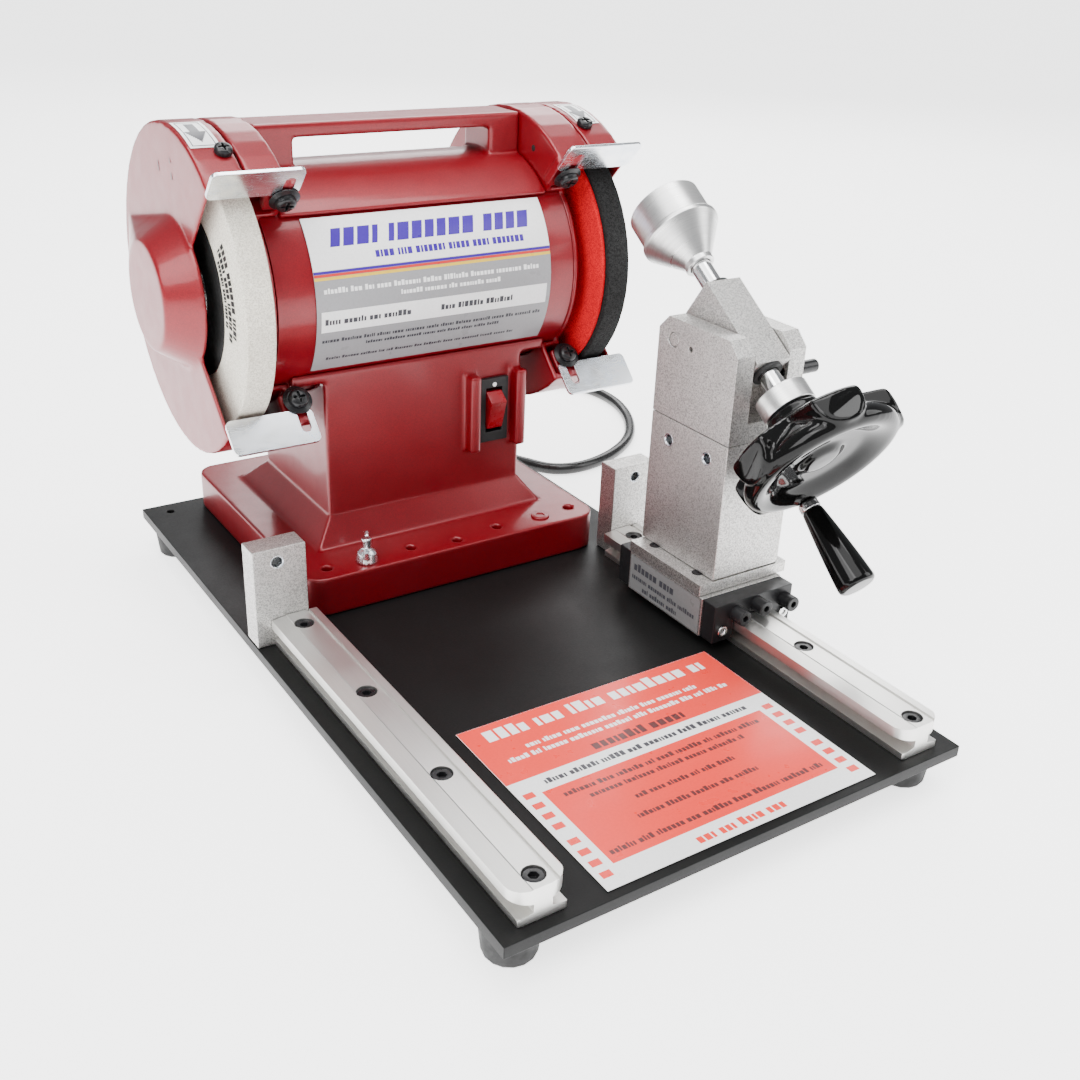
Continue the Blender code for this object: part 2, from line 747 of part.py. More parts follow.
def flange_nut(side, axis):
    face, step = (GRINDING_WHEEL_X[0], -1) if side == "left" else (HONING_WHEEL_X[1], 1)
    near = face + step * GAP
    middle = near + step * NUT_FLANGE
    far = middle + step * NUT_LENGTH
    washer = ((0.0, near), (17.0, near), (15.5, middle), (0.0, middle))
    body = turned(f"flange_nut_{side}", washer, "steel", 24, axis)
    join(body, rod(f"hex_nut_{side}", (0, 0, middle - step), (0, 0, far), NUT_RADIUS, steps=6, parent=axis))
    ends = (0, 0, near - step), (0, 0, far + step)
    cut(body, rod(f"nut_bore_{side}", *ends, BORE_RADIUS, steps=24, parent=axis))


def hub_hull(name, base_z, top_z, shrink, axis):
    """The raised hub of a cover: a round top above a teardrop base with its tail to the rear."""
    bm = bmesh.new()
    rear = ahead(180.0)
    tail = arc((0, 0), HUB_TAIL_RADIUS - shrink, rear - HUB_TAIL_ANGLE, rear + HUB_TAIL_ANGLE, 6)
    base = arc((0, 0), OPENING_HUB_RADIUS - shrink, 0, 352.5, 47) + tail
    top = arc((0, 0), HUB_TOP_RADIUS - shrink, 0, 352.5, 47)
    for points, z in ((base, base_z), (top, top_z)):
        for x, y in points:
            bm.verts.new(metres((x, y, z)))
    made = bmesh.ops.convex_hull(bm, input=bm.verts)
    left_over = made["geom_interior"] + made["geom_unused"]
    unused = {item for item in left_over if isinstance(item, bmesh.types.BMVert)}
    bmesh.ops.delete(bm, geom=list(unused), context="VERTS")
    bmesh.ops.recalc_face_normals(bm, faces=bm.faces)
    return add_object(name, mesh_from(name, bm), None, parent=axis)


def guard_cover(side, axis):
    back, open_edge = COVER_X[side]
    step = 1 if open_edge > back else -1
    floor = back + step * COVER_BACK
    inner = GUARD_RADIUS - COVER_WALL
    cup = (
        (0.0, back),
        (GUARD_RADIUS, back),
        (GUARD_RADIUS, open_edge),
        (inner, open_edge),
        (inner, floor),
        (0.0, floor),
    )
    name = f"guard_cover_{side}"
    body = turned(name, cup, "red_paint", FINE, axis)
    top = back - step * HUB_RISE
    join(body, hub_hull(name + "_hub", back + step * 0.8, top, 0.0, axis))
    cut(body, hub_hull(name + "_hollow", floor + step * 0.5, top + step * COVER_BACK, COVER_WALL, axis))
    mouth = sector((OPENING_HUB_RADIUS, GUARD_RADIUS + 20), OPENING_ANGLES, 12)
    span = sorted((back - step * 20, open_edge + step * 5))
    cut(body, prism(name + "_mouth", mouth, span, parent=axis))


def guard_inner(side, axis):
    seam, motor_edge = INNER_X[side]
    web_out, web_in = WEB_X[side]
    step = 1 if motor_edge > seam else -1
    shoulder = motor_edge - step * INNER_WALL
    inner = GUARD_RADIUS - INNER_WALL
    boss = web_in + step * BOSS_LENGTH
    boss_inner = BEARING_RADIUS + GAP
    tube_seat = MOTOR_RADIUS + 0.4
    cup = (
        (INNER_BORE, web_out),
        (STEP_RADIUS, web_out),
        (STEP_RADIUS, shoulder),
        (inner, shoulder),
        (inner, seam),
        (GUARD_RADIUS, seam),
        (GUARD_RADIUS, motor_edge),
        (tube_seat, motor_edge),
        (tube_seat, web_in),
        (boss_inner + 4.0, web_in),
        (boss_inner + 4.0, boss),
        (boss_inner, boss),
        (boss_inner, web_in),
        (INNER_BORE, web_in),
    )
    name = f"guard_inner_{side}"
    body = turned(name, cup, "red_paint", FINE, axis)
    holes = []
    for label, edge, (screw_x, screw_radius), _, _ in SHIELDS:
        if not label.endswith(side):
            continue
        frame, facing = shield_frame(label, edge)
        low, high = sorted((screw_x - step * 7.0, screw_x + step * 6.0))
        depth = sorted((facing * 2.0, -facing * LUG_THICKNESS))
        near, far = LUG_RADII
        join(body, block(f"lug_{label}", (low, near, depth[0]), (high, far, depth[1]), parent=frame))
        hole = (screw_x, screw_radius, -facing * (LUG_THICKNESS - 1.0))
        mouth_end = (screw_x, screw_radius, facing * 4.0)
        holes.append(rod(f"lug_hole_{label}", hole, mouth_end, SHIELD_SCREW_RADIUS + GAP, parent=frame))
    mouth = sector((MOTOR_RADIUS + 0.2, GUARD_RADIUS + 20), OPENING_ANGLES, 12)
    span = sorted((seam - step * 5, motor_edge + step * 15))
    cut(body, prism(name + "_mouth", mouth, span, parent=axis), *holes)


SHIELD_FRAMES = {}


def shield_frame(label, edge):
    """An empty with local Y out along an opening edge, and the side of local Z that faces the opening."""
    angle, facing = (OPENING_ANGLES[1], 1) if edge == "upper" else (OPENING_ANGLES[0], -1)
    if label not in SHIELD_FRAMES:
        turn = (math.radians(180.0 - angle), 0.0, 0.0)
        SHIELD_FRAMES[label] = empty(f"shield_frame_{label}", (0, WHEEL_Y, WHEEL_Z), turn)
    return SHIELD_FRAMES[label], facing


def guard_screws():
    """A pan head screw on top of each guard, through the cover's edge into the inner guard."""
    for side, (x, y, z) in GUARD_SCREWS.items():
        outward = Vector((0.0, y - WHEEL_Y, z - WHEEL_Z)).normalized()
        angle = math.atan2(-outward.y, outward.z)
        base = GUARD_RADIUS + GAP
        profile = (
            (0.0, base),
            (GUARD_SCREW_HEAD, base),
            (GUARD_SCREW_HEAD, base + 1.4),
            (GUARD_SCREW_HEAD * 0.7, base + 2.6),
            (0.0, base + 2.9),
        )
        location = (x, WHEEL_Y, WHEEL_Z)
        turned(f"guard_screw_{side}", profile, "black_screw", SMALL, None, location, (angle, 0.0, 0.0))


def shield(label, edge, screw, x_range, radii):
    frame, facing = shield_frame(label, edge)
    low, high = (x_range[0], radii[0]), (x_range[1], radii[1])
    near, far = facing * GAP, facing * (GAP + SHIELD_THICKNESS)
    outline = rounded_rectangle(low, high, SHIELD_CORNER, 3)
    plate = prism(f"shield_{label}", outline, sorted((near, far)), "zinc", parent=frame)
    screw_x, screw_radius = screw
    half = SLOT_WIDTH / 2
    slot_end = radii[1] - SLOT_END_MARGIN - half
    end = arc((screw_x, slot_end), half, 0, 180, 6)
    slot = [(screw_x + half, radii[0] - 5)] + end + [(screw_x - half, radii[0] - 5)]
    cut(plate, prism(f"shield_slot_{label}", slot, (-4, 4), parent=frame))
    base = GAP + SHIELD_THICKNESS + GAP
    profile = (
        (0.0, -facing * (LUG_THICKNESS - 1.5)),
        (SHIELD_SCREW_RADIUS, -facing * (LUG_THICKNESS - 1.5)),
        (SHIELD_SCREW_RADIUS, facing * base),
        (WASHER_RADIUS, facing * base),
        (WASHER_RADIUS, facing * (base + 1.0)),
        (SCREW_HEAD_RADIUS, facing * (base + 1.1)),
        (SCREW_HEAD_RADIUS, facing * (base + 2.2)),
        (SCREW_HEAD_RADIUS * 0.7, facing * (base + 3.4)),
        (0.0, facing * (base + 3.8)),
    )
    turned(f"shield_screw_{label}", profile, "black_screw", 16, frame, (screw_x, screw_radius, 0))


def top_frame(axis):
    body = prism("top_frame", sector(SADDLE_RADII, SADDLE_ANGLES, 24), FRAME_X, "red_paint", parent=axis)
    x0, x1 = FRAME_X
    y0, y1 = HANDLE_Y
    foot = WHEEL_Z + SADDLE_RADII[0] + 0.4
    window_left, window_right = HANDLE_WINDOW_X
    join(
        body,
        block("frame_leg_left", (x0, y0, foot), (window_left, y1, HANDLE_Z[1])),
        block("frame_leg_right", (window_right, y0, foot), (x1, y1, HANDLE_Z[1])),
        block("frame_bar", (window_left - 1, y0, HANDLE_Z[0]), (window_right + 1, y1, HANDLE_Z[1])),
    )


def carriage():
    centre = RAIL_X["right"]
    bottom, top = CARRIAGE_Z
    pieces = (
        ("carriage_cap_front", CAP_FRONT_Y, CAP_HALF_WIDTH, "black_plastic"),
        ("carriage_body", BODY_Y, BODY_HALF_WIDTH, "aluminium"),
        ("carriage_cap_rear", CAP_REAR_Y, CAP_HALF_WIDTH, "black_plastic"),
    )
    for name, (y0, y1), half, finish in pieces:
        inner = CHANNEL_HALF_WIDTH
        outline = (
            (centre - half, bottom),
            (centre - inner, bottom),
            (centre - inner, CHANNEL_TOP),
            (centre + inner, CHANNEL_TOP),
            (centre + inner, bottom),
            (centre + half, bottom),
            (centre + half, top),
            (centre - half, top),
        )
        prism(name, outline, (y0, y1), finish, "XZ")
    block("adapter_plate", ADAPTER_LOW, ADAPTER_HIGH, "aluminium")


def post():
    x0, x1 = POST_X
    y0, y1 = POST_Y
    bottom = ADAPTER_HIGH[2] + GAP
    lower = block("post_lower", (x0, y0, bottom), (x1, y1, POST_SEAM), "aluminium")
    for i, (y, z) in enumerate(POST_HOLES):
        cut(lower, rod(f"post_hole_{i}", (x0 - 1, y, z), (x0 + TAPPED_DEPTH, y, z), TAPPED_RADIUS))
    edge = POST_TOP - POST_CHAMFER
    outline = (
        (y0, POST_SEAM + GAP),
        (y1, POST_SEAM + GAP),
        (y1, edge),
        (y1 - POST_CHAMFER, POST_TOP),
        (y0 + POST_CHAMFER, POST_TOP),
        (y0, edge),
    )
    upper = prism("post_upper", outline, POST_X, "aluminium", "YZ")
    slot = block("fork_slot", (FORK_X[0], y0 - 5, FORK_FLOOR), (FORK_X[1], y1 + 5, POST_TOP + 5))
    pin_y, pin_z = PIVOT
    ends = (x0 - 2, pin_y, pin_z), (x1 + 2, pin_y, pin_z)
    pin_hole = rod("pivot_hole", *ends, PIVOT_RADIUS + GAP, steps=16)
    lock_y, lock_z = LOCK
    ends = (FORK_X[1] - 2, lock_y, lock_z), (x1 + 2, lock_y, lock_z)
    lock_hole = rod("lock_hole", *ends, LOCK_HOLE_RADIUS)
    screw_y, screw_z, screw_radius, screw_depth = PIVOT_SCREW_HOLE
    ends = (x0 - 1, screw_y, screw_z), (x0 + screw_depth, screw_y, screw_z)
    screw_hole = rod("pivot_screw_hole", *ends, screw_radius)
    cut(upper, slot, pin_hole, lock_hole, screw_hole)
    inset = GAP
    pin = ((0.0, x0 + inset), (PIVOT_RADIUS, x0 + inset), (PIVOT_RADIUS, x1 - inset), (0.0, x1 - inset))
    turned("pivot_pin", pin, "steel", 16, location=(0, pin_y, pin_z), rotation=ALONG_X)
    head_low, head_high = LOCK_HEAD_X
    tip = FORK_X[1] + GAP
    lock = (
        (0.0, tip),
        (LOCK_RADIUS, tip),
        (LOCK_RADIUS, head_low),
        (LOCK_HEAD_RADIUS, head_low),
        (LOCK_HEAD_RADIUS, head_high - 0.6),
        (LOCK_HEAD_RADIUS - 0.6, head_high),
        (0.0, head_high),
    )
    turned("lock_screw", lock, "black_screw", 16, location=(0, lock_y, lock_z), rotation=ALONG_X)
    return pin_hole


def spindle(axis, pin_hole):
    width = (-HOUSING_HALF_WIDTH, HOUSING_HALF_WIDTH)
    housing = prism("spindle_housing", HOUSING_OUTLINE, width, "aluminium", "YZ", axis)
    cut(housing, rod("spindle_bore", (0, 0, -80), (0, 0, 0), SPINDLE_BORE, steps=24, parent=axis), pin_hole)
    shaft = ((0.0, -112.0), (SPINDLE_RADIUS, -112.0), (SPINDLE_RADIUS, 22.0), (0.0, 22.0))
    turned("spindle_shaft", shaft, "steel", 24, axis)
    bore = SPINDLE_BORE
    hub = (
        (bore, -78.5),
        (6.6, -78.5),
        (6.6, -81.0),
        (17.8, -96.0),
        (17.8, -98.0),
        (16.5, -98.4),
        (16.5, -113.0),
        (bore, -113.0),
    )
    turned("blade_hub", hub, "aluminium", 24, axis)
    low, high = COLLAR_Z
    collar = ((bore, low), (COLLAR_RADIUS, low), (COLLAR_RADIUS, high), (bore, high))
    turned("spindle_collar", collar, "steel", MEDIUM, axis)


def lobe_star(axis):
    """Round-ended bars that cross at the axis, which bound the lobes."""
    half = LOBE_HALF_WIDTH
    tip = arc((0.0, LOBE_FRONT - half), half, 0, 180, 10)
    bars = []
    for i in range(LOBES):
        back = -0.2 * i
        outline = [(half, back)] + tip + [(-half, back)]
        bar = prism(f"lobe_bar_{i}", outline, (9.0, 45.0), plane="YZ")
        turn = Matrix.Rotation(math.radians(LOBE_FIRST + 360.0 * i / LOBES), 4, "Z")
        bar.location = turn @ bar.location
        bar.rotation_euler = (turn @ bar.rotation_euler.to_matrix().to_4x4()).to_euler()
        bar.parent = axis
        bars.append(bar)
    return join(*bars)


def handwheel(axis):
    """A dished wheel with rounded lobes that stand out from its back and its outer side."""
    body = turned("handwheel", WHEEL_DISH, "gloss_black", FINE, axis)
    lobes = turned("lobe_disc", LOBE_DISC, None, FINE, axis)
    join(body, keep_inside(lobes, lobe_star(axis)))
    x, y = HANDLE_OFFSET
    join(body, rod("handle_boss", (x, y, 19), (x, y, 28.4), 4.4, steps=16, parent=axis))
    cut(body, rod("handle_hole", (x, y, 20), (x, y, 30), 2.5, parent=axis))


def handle(axis):
    x, y = HANDLE_OFFSET
    pin = (
        (0.0, 20.6),
        (2.2, 20.6),
        (2.2, 28.7),
        (4.6, 28.7),
        (4.8, 32.2),
        (2.2, 32.2),
        (2.2, 62.0),
        (0.0, 62.0),
    )
    turned("handle_pin", pin, "steel", COARSE, axis, (x, y, 0))
    grip = (
        (0.0, 62.3),
        (2.5, 62.3),
        (2.5, 32.5),
        (4.8, 32.5),
        (5.5, 38.0),
        (6.5, 47.0),
        (7.5, 58.0),
        (8.3, 69.0),
        (7.7, 70.6),
        (0.0, 70.6),
    )
    turned("handle_grip", grip, "gloss_black", 24, axis, (x, y, 0))


def smooth_points(route, spacing):
    """Points every so often along a smooth curve through a route's points."""
    ends = [route[0], *route, route[-1]]
    path = []
    for p0, p1, p2, p3 in zip(ends, ends[1:], ends[2:], ends[3:]):
        a, b, c, d = Vector(p0), Vector(p1), Vector(p2), Vector(p3)
        steps = max(1, round((c - b).length / spacing * 4))
        for i in range(steps):
            t = i / steps
            bend = (2 * a - 5 * b + 4 * c - d) * t * t + (3 * b - a - 3 * c + d) * t * t * t
            path.append(b + ((c - a) * t + bend) / 2)
    path.append(Vector(route[-1]))
    kept = [path[0]]
    for point in path[1:-1]:
        if (point - kept[-1]).length >= spacing and (path[-1] - point).length >= spacing * 0.6:
            kept.append(point)
    return kept + [path[-1]]


def tube(name, route, spacing):
    points = smooth_points(route, spacing)
    curve = bpy.data.curves.new(name, "CURVE")
    curve.dimensions = "3D"
    curve.bevel_depth = CORD_RADIUS * MM
    curve.bevel_resolution = 2
    curve.use_fill_caps = True
    spline = curve.splines.new("POLY")
    spline.points.add(len(points) - 1)
    for target, point in zip(spline.points, points):
        target.co = (*(point * MM), 1.0)
    curve.materials.append(finish_material("cord"))
    obj = bpy.data.objects.new(name, curve)
    PARTS.objects.link(obj)


def mains_cord():
    back, end = RELIEF_Y
    relief = (
        (0.0, back),
        (9.0, back),
        (9.0, back + 3.0),
        (6.6, back + 3.6),
        (4.3, end),
        (0.0, end),
    )
    place = (RELIEF_X, 0, RELIEF_Z)
    turned("strain_relief", relief, "black_plastic", COARSE, location=place, rotation=ALONG_Y)
    tube("power_cord", CORD_ROUTE, CORD_POINT_SPACING)
    (inner, outer), (low, high) = COIL_RADII, COIL_Z
    ring = (
        (inner, low + 2),
        (inner + 2, low),
        (outer - 2, low),
        (outer, low + 2),
        (outer, high - 4),
        (outer - 4, high),
        (inner + 4, high),
        (inner, high - 4),
    )
    turned("cord_coil", ring, "cord", 28, location=(*COIL_CENTRE, 0))


def plug():
    """A three-pin plug on its back side, with the end of the cord that lies beside the coil."""
    mouth, y = PLUG_POINT
    length, width, height = PLUG_BODY
    middle = FLOOR_Z + 0.2 + height / 2
    neck = mouth - PLUG_RELIEF
    front = neck - length
    low = (front, y - width / 2, middle - height / 2)
    high = (neck, y + width / 2, middle + height / 2)
    body = block("plug", low, high, "black_plastic")
    thin, thick = PLUG_RELIEF_RADII
    inside = -PLUG_RELIEF - 1.0
    cone = ((0.0, 0.0), (thin, 0.0), (thick, inside), (0.0, inside))
    relief = turned("plug_relief", cone, None, 16, location=(mouth, y, CORD_Z + 1.2), rotation=ALONG_X)
    tail = rod("plug_tail", (mouth - 5.0, y, CORD_Z), (CORD_TAIL_X, y, CORD_Z), CORD_RADIUS, steps=16)
    join(body, relief, tail)
    tip = front - BLADE_LENGTH
    blade_low, blade_high = BLADE_Z
    for name, offset in (("blade_a", -BLADE_OFFSET), ("blade_b", BLADE_OFFSET)):
        near, far = y + offset - BLADE_HALF_THICKNESS, y + offset + BLADE_HALF_THICKNESS
        join(body, block(name, (tip, near, middle + blade_low), (front + 2, far, middle + blade_high)))
    pin_z = middle - GROUND_PIN_DROP
    join(body, rod("ground_pin", (tip - 2, y, pin_z), (front + 2, y, pin_z), GROUND_PIN_RADIUS))


def move_to_origin():
    shift = metres(ORIGIN)
    for obj in bpy.data.objects:
        if obj.parent is None:
            obj.location -= shift


def main():
    base_plate()
    feet()
    safety_label()
    motor_axis = empty("motor_axis", (0, WHEEL_Y, WHEEL_Z), ALONG_X)
    for side in ("left", "right"):
        rail(side)
        stop_block(side)
        guard_cover(side, motor_axis)
        guard_inner(side, motor_axis)
        flange_nut(side, motor_axis)
    pedestal()
    switch()
    wing_screw()
    motor(motor_axis)
    motor_shaft(motor_axis)
    bearings(motor_axis)
    wheels(motor_axis)
    guard_screws()
    for one in SHIELDS:
        shield(*one)
    top_frame(motor_axis)
    carriage()
    pin_hole = post()
    spindle_axis = empty("spindle_axis", SPINDLE_POINT, (math.radians(90.0 + SPINDLE_SLOPE), 0.0, 0.0))
    spindle(spindle_axis, pin_hole)
    handwheel(spindle_axis)
    handle(spindle_axis)
    mains_cord()
    plug()
    move_to_origin()


main()
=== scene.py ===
"""Visual model of the rotary blade sharpener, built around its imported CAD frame."""

import json
import math
import random

import bmesh
import bpy
from mathutils import Matrix, Vector

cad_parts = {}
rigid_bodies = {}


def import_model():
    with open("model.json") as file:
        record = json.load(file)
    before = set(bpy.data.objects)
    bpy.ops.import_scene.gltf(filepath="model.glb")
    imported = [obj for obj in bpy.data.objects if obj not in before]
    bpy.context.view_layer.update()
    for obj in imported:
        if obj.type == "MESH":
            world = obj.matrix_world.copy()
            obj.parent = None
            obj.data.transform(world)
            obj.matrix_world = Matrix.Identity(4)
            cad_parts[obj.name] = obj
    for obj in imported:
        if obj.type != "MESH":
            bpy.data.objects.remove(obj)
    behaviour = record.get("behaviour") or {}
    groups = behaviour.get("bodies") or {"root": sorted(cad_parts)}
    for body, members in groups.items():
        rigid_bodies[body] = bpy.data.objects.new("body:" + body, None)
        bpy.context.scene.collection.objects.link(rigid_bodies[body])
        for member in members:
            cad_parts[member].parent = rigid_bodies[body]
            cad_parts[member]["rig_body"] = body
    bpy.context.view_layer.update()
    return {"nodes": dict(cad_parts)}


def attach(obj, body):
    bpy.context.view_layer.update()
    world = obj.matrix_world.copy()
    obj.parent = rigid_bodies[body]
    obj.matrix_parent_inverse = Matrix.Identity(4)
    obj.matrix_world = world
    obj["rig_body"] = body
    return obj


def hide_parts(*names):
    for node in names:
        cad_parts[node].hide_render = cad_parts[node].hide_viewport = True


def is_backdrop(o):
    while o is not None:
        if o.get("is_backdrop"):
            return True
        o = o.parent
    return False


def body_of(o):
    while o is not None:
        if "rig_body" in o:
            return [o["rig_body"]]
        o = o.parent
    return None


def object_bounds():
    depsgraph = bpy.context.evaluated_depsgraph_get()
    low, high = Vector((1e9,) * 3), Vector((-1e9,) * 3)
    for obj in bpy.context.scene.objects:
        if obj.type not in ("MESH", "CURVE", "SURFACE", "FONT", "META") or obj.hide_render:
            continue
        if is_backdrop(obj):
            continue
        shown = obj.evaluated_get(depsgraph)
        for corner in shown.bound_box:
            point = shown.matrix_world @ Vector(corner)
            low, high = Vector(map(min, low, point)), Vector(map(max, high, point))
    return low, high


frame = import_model()

MM = 0.001
WELD_DISTANCE = 0.002 * MM
ORIGIN = Vector((111.28, 181.05, -19.9))
FLOOR_Z = -19.9
WHEEL_Y = 285.8
WHEEL_Z = 134.0
GUARD_RADIUS = 71.0
MOTOR_RADIUS = 50.0
OPENING = {"upper": (46.5, 1), "lower": (-44.5, -1)}
SPINDLE_POINT = (195.6, 99.8, 108.7)
SPINDLE_SLOPE = 34.8


def place(x, y, z):
    """A point in plate millimetres as a point in the frame, in metres."""
    return (Vector((x, y, z)) - ORIGIN) * MM


def frame_at(point, rotation):
    """A transform from local millimetres to frame metres."""
    return Matrix.Translation(place(*point)) @ rotation @ Matrix.Scale(MM, 4)


MOTOR = frame_at((0, WHEEL_Y, WHEEL_Z), Matrix.Rotation(math.radians(90), 4, "Y"))
SPINDLE = frame_at(SPINDLE_POINT, Matrix.Rotation(math.radians(90 + SPINDLE_SLOPE), 4, "X"))


def shield_frame(edge):
    """The frame of a guard opening's upper or lower edge, and the way its shield faces."""
    angle, facing = OPENING[edge]
    turn = Matrix.Rotation(math.radians(180 - angle), 4, "X")
    return frame_at((0, WHEEL_Y, WHEEL_Z), turn), facing


def along(axis):
    """The rotation that takes local Z to a world axis."""
    return Vector(axis).to_track_quat("Z", "Y").to_matrix().to_4x4()


# ---------------------------------------------------------------- camera

CAMERA_PLACE = (-157.43, -242.9, 285.82)
CAMERA_YAW, CAMERA_PITCH, CAMERA_ROLL = 34.094, 26.515, 2.431
FOCAL_PIXELS, FRAME_PIXELS, SENSOR_MM = 1250.62, 1080, 36.0


def set_camera():
    yaw, pitch, roll = (math.radians(a) for a in (CAMERA_YAW, CAMERA_PITCH, CAMERA_ROLL))
    forward = Vector((math.sin(yaw) * math.cos(pitch), math.cos(yaw) * math.cos(pitch), -math.sin(pitch)))
    level = Vector((math.cos(yaw), -math.sin(yaw), 0))
    upright = level.cross(forward)
    right = math.cos(roll) * level + math.sin(roll) * upright
    up = -math.sin(roll) * level + math.cos(roll) * upright
    turn = Matrix((right, up, -forward)).transposed().to_4x4()
    data = bpy.data.cameras.new("camera")
    data.sensor_width = SENSOR_MM
    data.lens = SENSOR_MM * FOCAL_PIXELS / FRAME_PIXELS
    data.clip_start = 0.01
    camera = bpy.data.objects.new("camera", data)
    camera.matrix_world = Matrix.Translation(place(*CAMERA_PLACE)) @ turn
    bpy.context.scene.collection.objects.link(camera)
    bpy.context.scene.camera = camera


set_camera()


# ---------------------------------------------------------------- materials


class Material:
    """A Principled material built from a few kinds of node."""

    def __init__(self, name, color, roughness, metallic=0.0, **sockets):
        self.data = bpy.data.materials.new(name)
        self.data.use_nodes = True
        self.tree = self.data.node_tree
        self.shader = self.tree.nodes["Principled BSDF"]
        self.shader.inputs["Base Color"].default_value = (*color, 1)
        self.shader.inputs["Roughness"].default_value = roughness
        self.shader.inputs["Metallic"].default_value = metallic
        for socket, value in sockets.items():
            self.shader.inputs[socket.replace("_", " ")].default_value = value
        self.place = self.tree.nodes.new("ShaderNodeTexCoord").outputs["Object"]

    def node(self, kind, values=(), **settings):
        made = self.tree.nodes.new(kind)
        for key, value in settings.items():
            setattr(made, key, value)
        for socket, value in dict(values).items():
            if isinstance(value, bpy.types.NodeSocket):
                self.tree.links.new(value, made.inputs[socket])
            else:
                made.inputs[socket].default_value = value
        return made

    def stretched(self, scale):
        return self.node("ShaderNodeMapping", {"Vector": self.place, "Scale": scale}).outputs[0]

    def noise(self, size_mm, detail=2.0, rough=0.5, stretch=None):
        vector = self.stretched(stretch) if stretch else self.place
        values = {"Vector": vector, "Scale": 1000 / size_mm, "Detail": detail, "Roughness": rough}
        return self.node("ShaderNodeTexNoise", values).outputs["Fac"]

    def cells(self, size_mm):
        values = {"Vector": self.place, "Scale": 1000 / size_mm}
        found = self.node("ShaderNodeTexVoronoi", values).outputs["Color"]
        return self.node("ShaderNodeSeparateColor", {"Color": found}).outputs[0]

    def spread(self, value, low, high, to_low=0.0, to_high=1.0):
        values = {"Value": value, "From Min": low, "From Max": high, "To Min": to_low, "To Max": to_high}
        return self.node("ShaderNodeMapRange", values).outputs[0]

    def mix(self, factor, first, second):
        made = self.node("ShaderNodeMix", {}, data_type="RGBA")
        for socket, value in ((made.inputs[0], factor), (made.inputs[6], first), (made.inputs[7], second)):
            if isinstance(value, bpy.types.NodeSocket):
                self.tree.links.new(value, socket)
            elif isinstance(value, tuple):
                socket.default_value = (*value, 1)
            else:
                socket.default_value = value
        return made.outputs[2]

    def add(self, first, second, operation="ADD"):
        made = self.tree.nodes.new("ShaderNodeMath")
        made.operation = operation
        for socket, value in zip(made.inputs, (first, second)):
            if isinstance(value, bpy.types.NodeSocket):
                self.tree.links.new(value, socket)
            else:
                socket.default_value = value
        return made.outputs[0]

    def color(self, value):
        self.tree.links.new(value, self.shader.inputs["Base Color"])

    def roughness(self, value):
        self.tree.links.new(value, self.shader.inputs["Roughness"])

    def bump(self, height, depth_mm, strength=1.0, coat=False):
        values = {"Height": height, "Distance": depth_mm * MM, "Strength": strength}
        made = self.node("ShaderNodeBump", values).outputs[0]
        self.tree.links.new(made, self.shader.inputs["Normal"])
        if coat:
            self.tree.links.new(made, self.shader.inputs["Coat Normal"])
        return self


def red_paint(name, dark, light, coat):
    m = Material(name, light, 0.36, 0.25, Coat_Weight=coat, Coat_Roughness=0.1)
    flake = m.cells(0.3)
    cloud = m.noise(26, 2)
    tone = m.mix(m.spread(flake, 0.0, 1.0), dark, light)
    m.color(m.mix(m.spread(cloud, 0.3, 0.7, 0.0, 0.25), tone, dark))
    m.roughness(m.spread(m.noise(9, 2), 0.3, 0.7, 0.33, 0.4))
    peel = m.add(m.noise(1.8, 2), m.add(flake, 0.1, "MULTIPLY"))
    return m.bump(peel, 0.05, 0.4, coat=True).data


def shaded(color, scale):
    """A colour made darker or lighter."""
    return tuple(min(1, c * scale) for c in color)


def bare_metal(name, color, roughness, grain_mm, depth, stretch=None):
    m = Material(name, color, roughness, 1.0)
    grain = m.noise(grain_mm, 4, 0.6, stretch)
    cloud = m.noise(9, 3)
    m.color(m.mix(m.spread(m.add(grain, cloud), 0.7, 1.25), shaded(color, 0.82), color))
    m.roughness(m.spread(m.add(grain, cloud), 0.7, 1.3, roughness + 0.1, max(0.05, roughness - 0.1)))
    return m.bump(grain, depth, 0.6).data


def satin(name, color):
    """Aluminium with fine draw lines along local Y."""
    m = Material(name, color, 0.36, 1.0)
    lines = m.noise(0.35, 2, 0.5, (1, 0.015, 1))
    cloud = m.noise(30, 2)
    m.color(m.mix(m.spread(m.add(lines, cloud), 0.7, 1.3), shaded(color, 0.93), color))
    m.roughness(m.spread(cloud, 0.3, 0.7, 0.4, 0.33))
    return m.bump(lines, 0.006, 0.4).data


def tumbled(name, color):
    """Aluminium with a fine sandy skin."""
    m = Material(name, color, 0.46, 1.0)
    sand = m.cells(0.4)
    fine = m.noise(0.3, 3, 0.7)
    cloud = m.noise(22, 3)
    tone = m.mix(m.spread(cloud, 0.35, 0.65), shaded(color, 0.93), color)
    m.color(m.mix(m.spread(m.add(sand, fine), 0.85, 1.35), tone, shaded(color, 0.5)))
    m.roughness(m.spread(m.add(sand, cloud), 0.5, 1.4, 0.44, 0.54))
    return m.bump(m.add(sand, fine), 0.05, 0.5).data


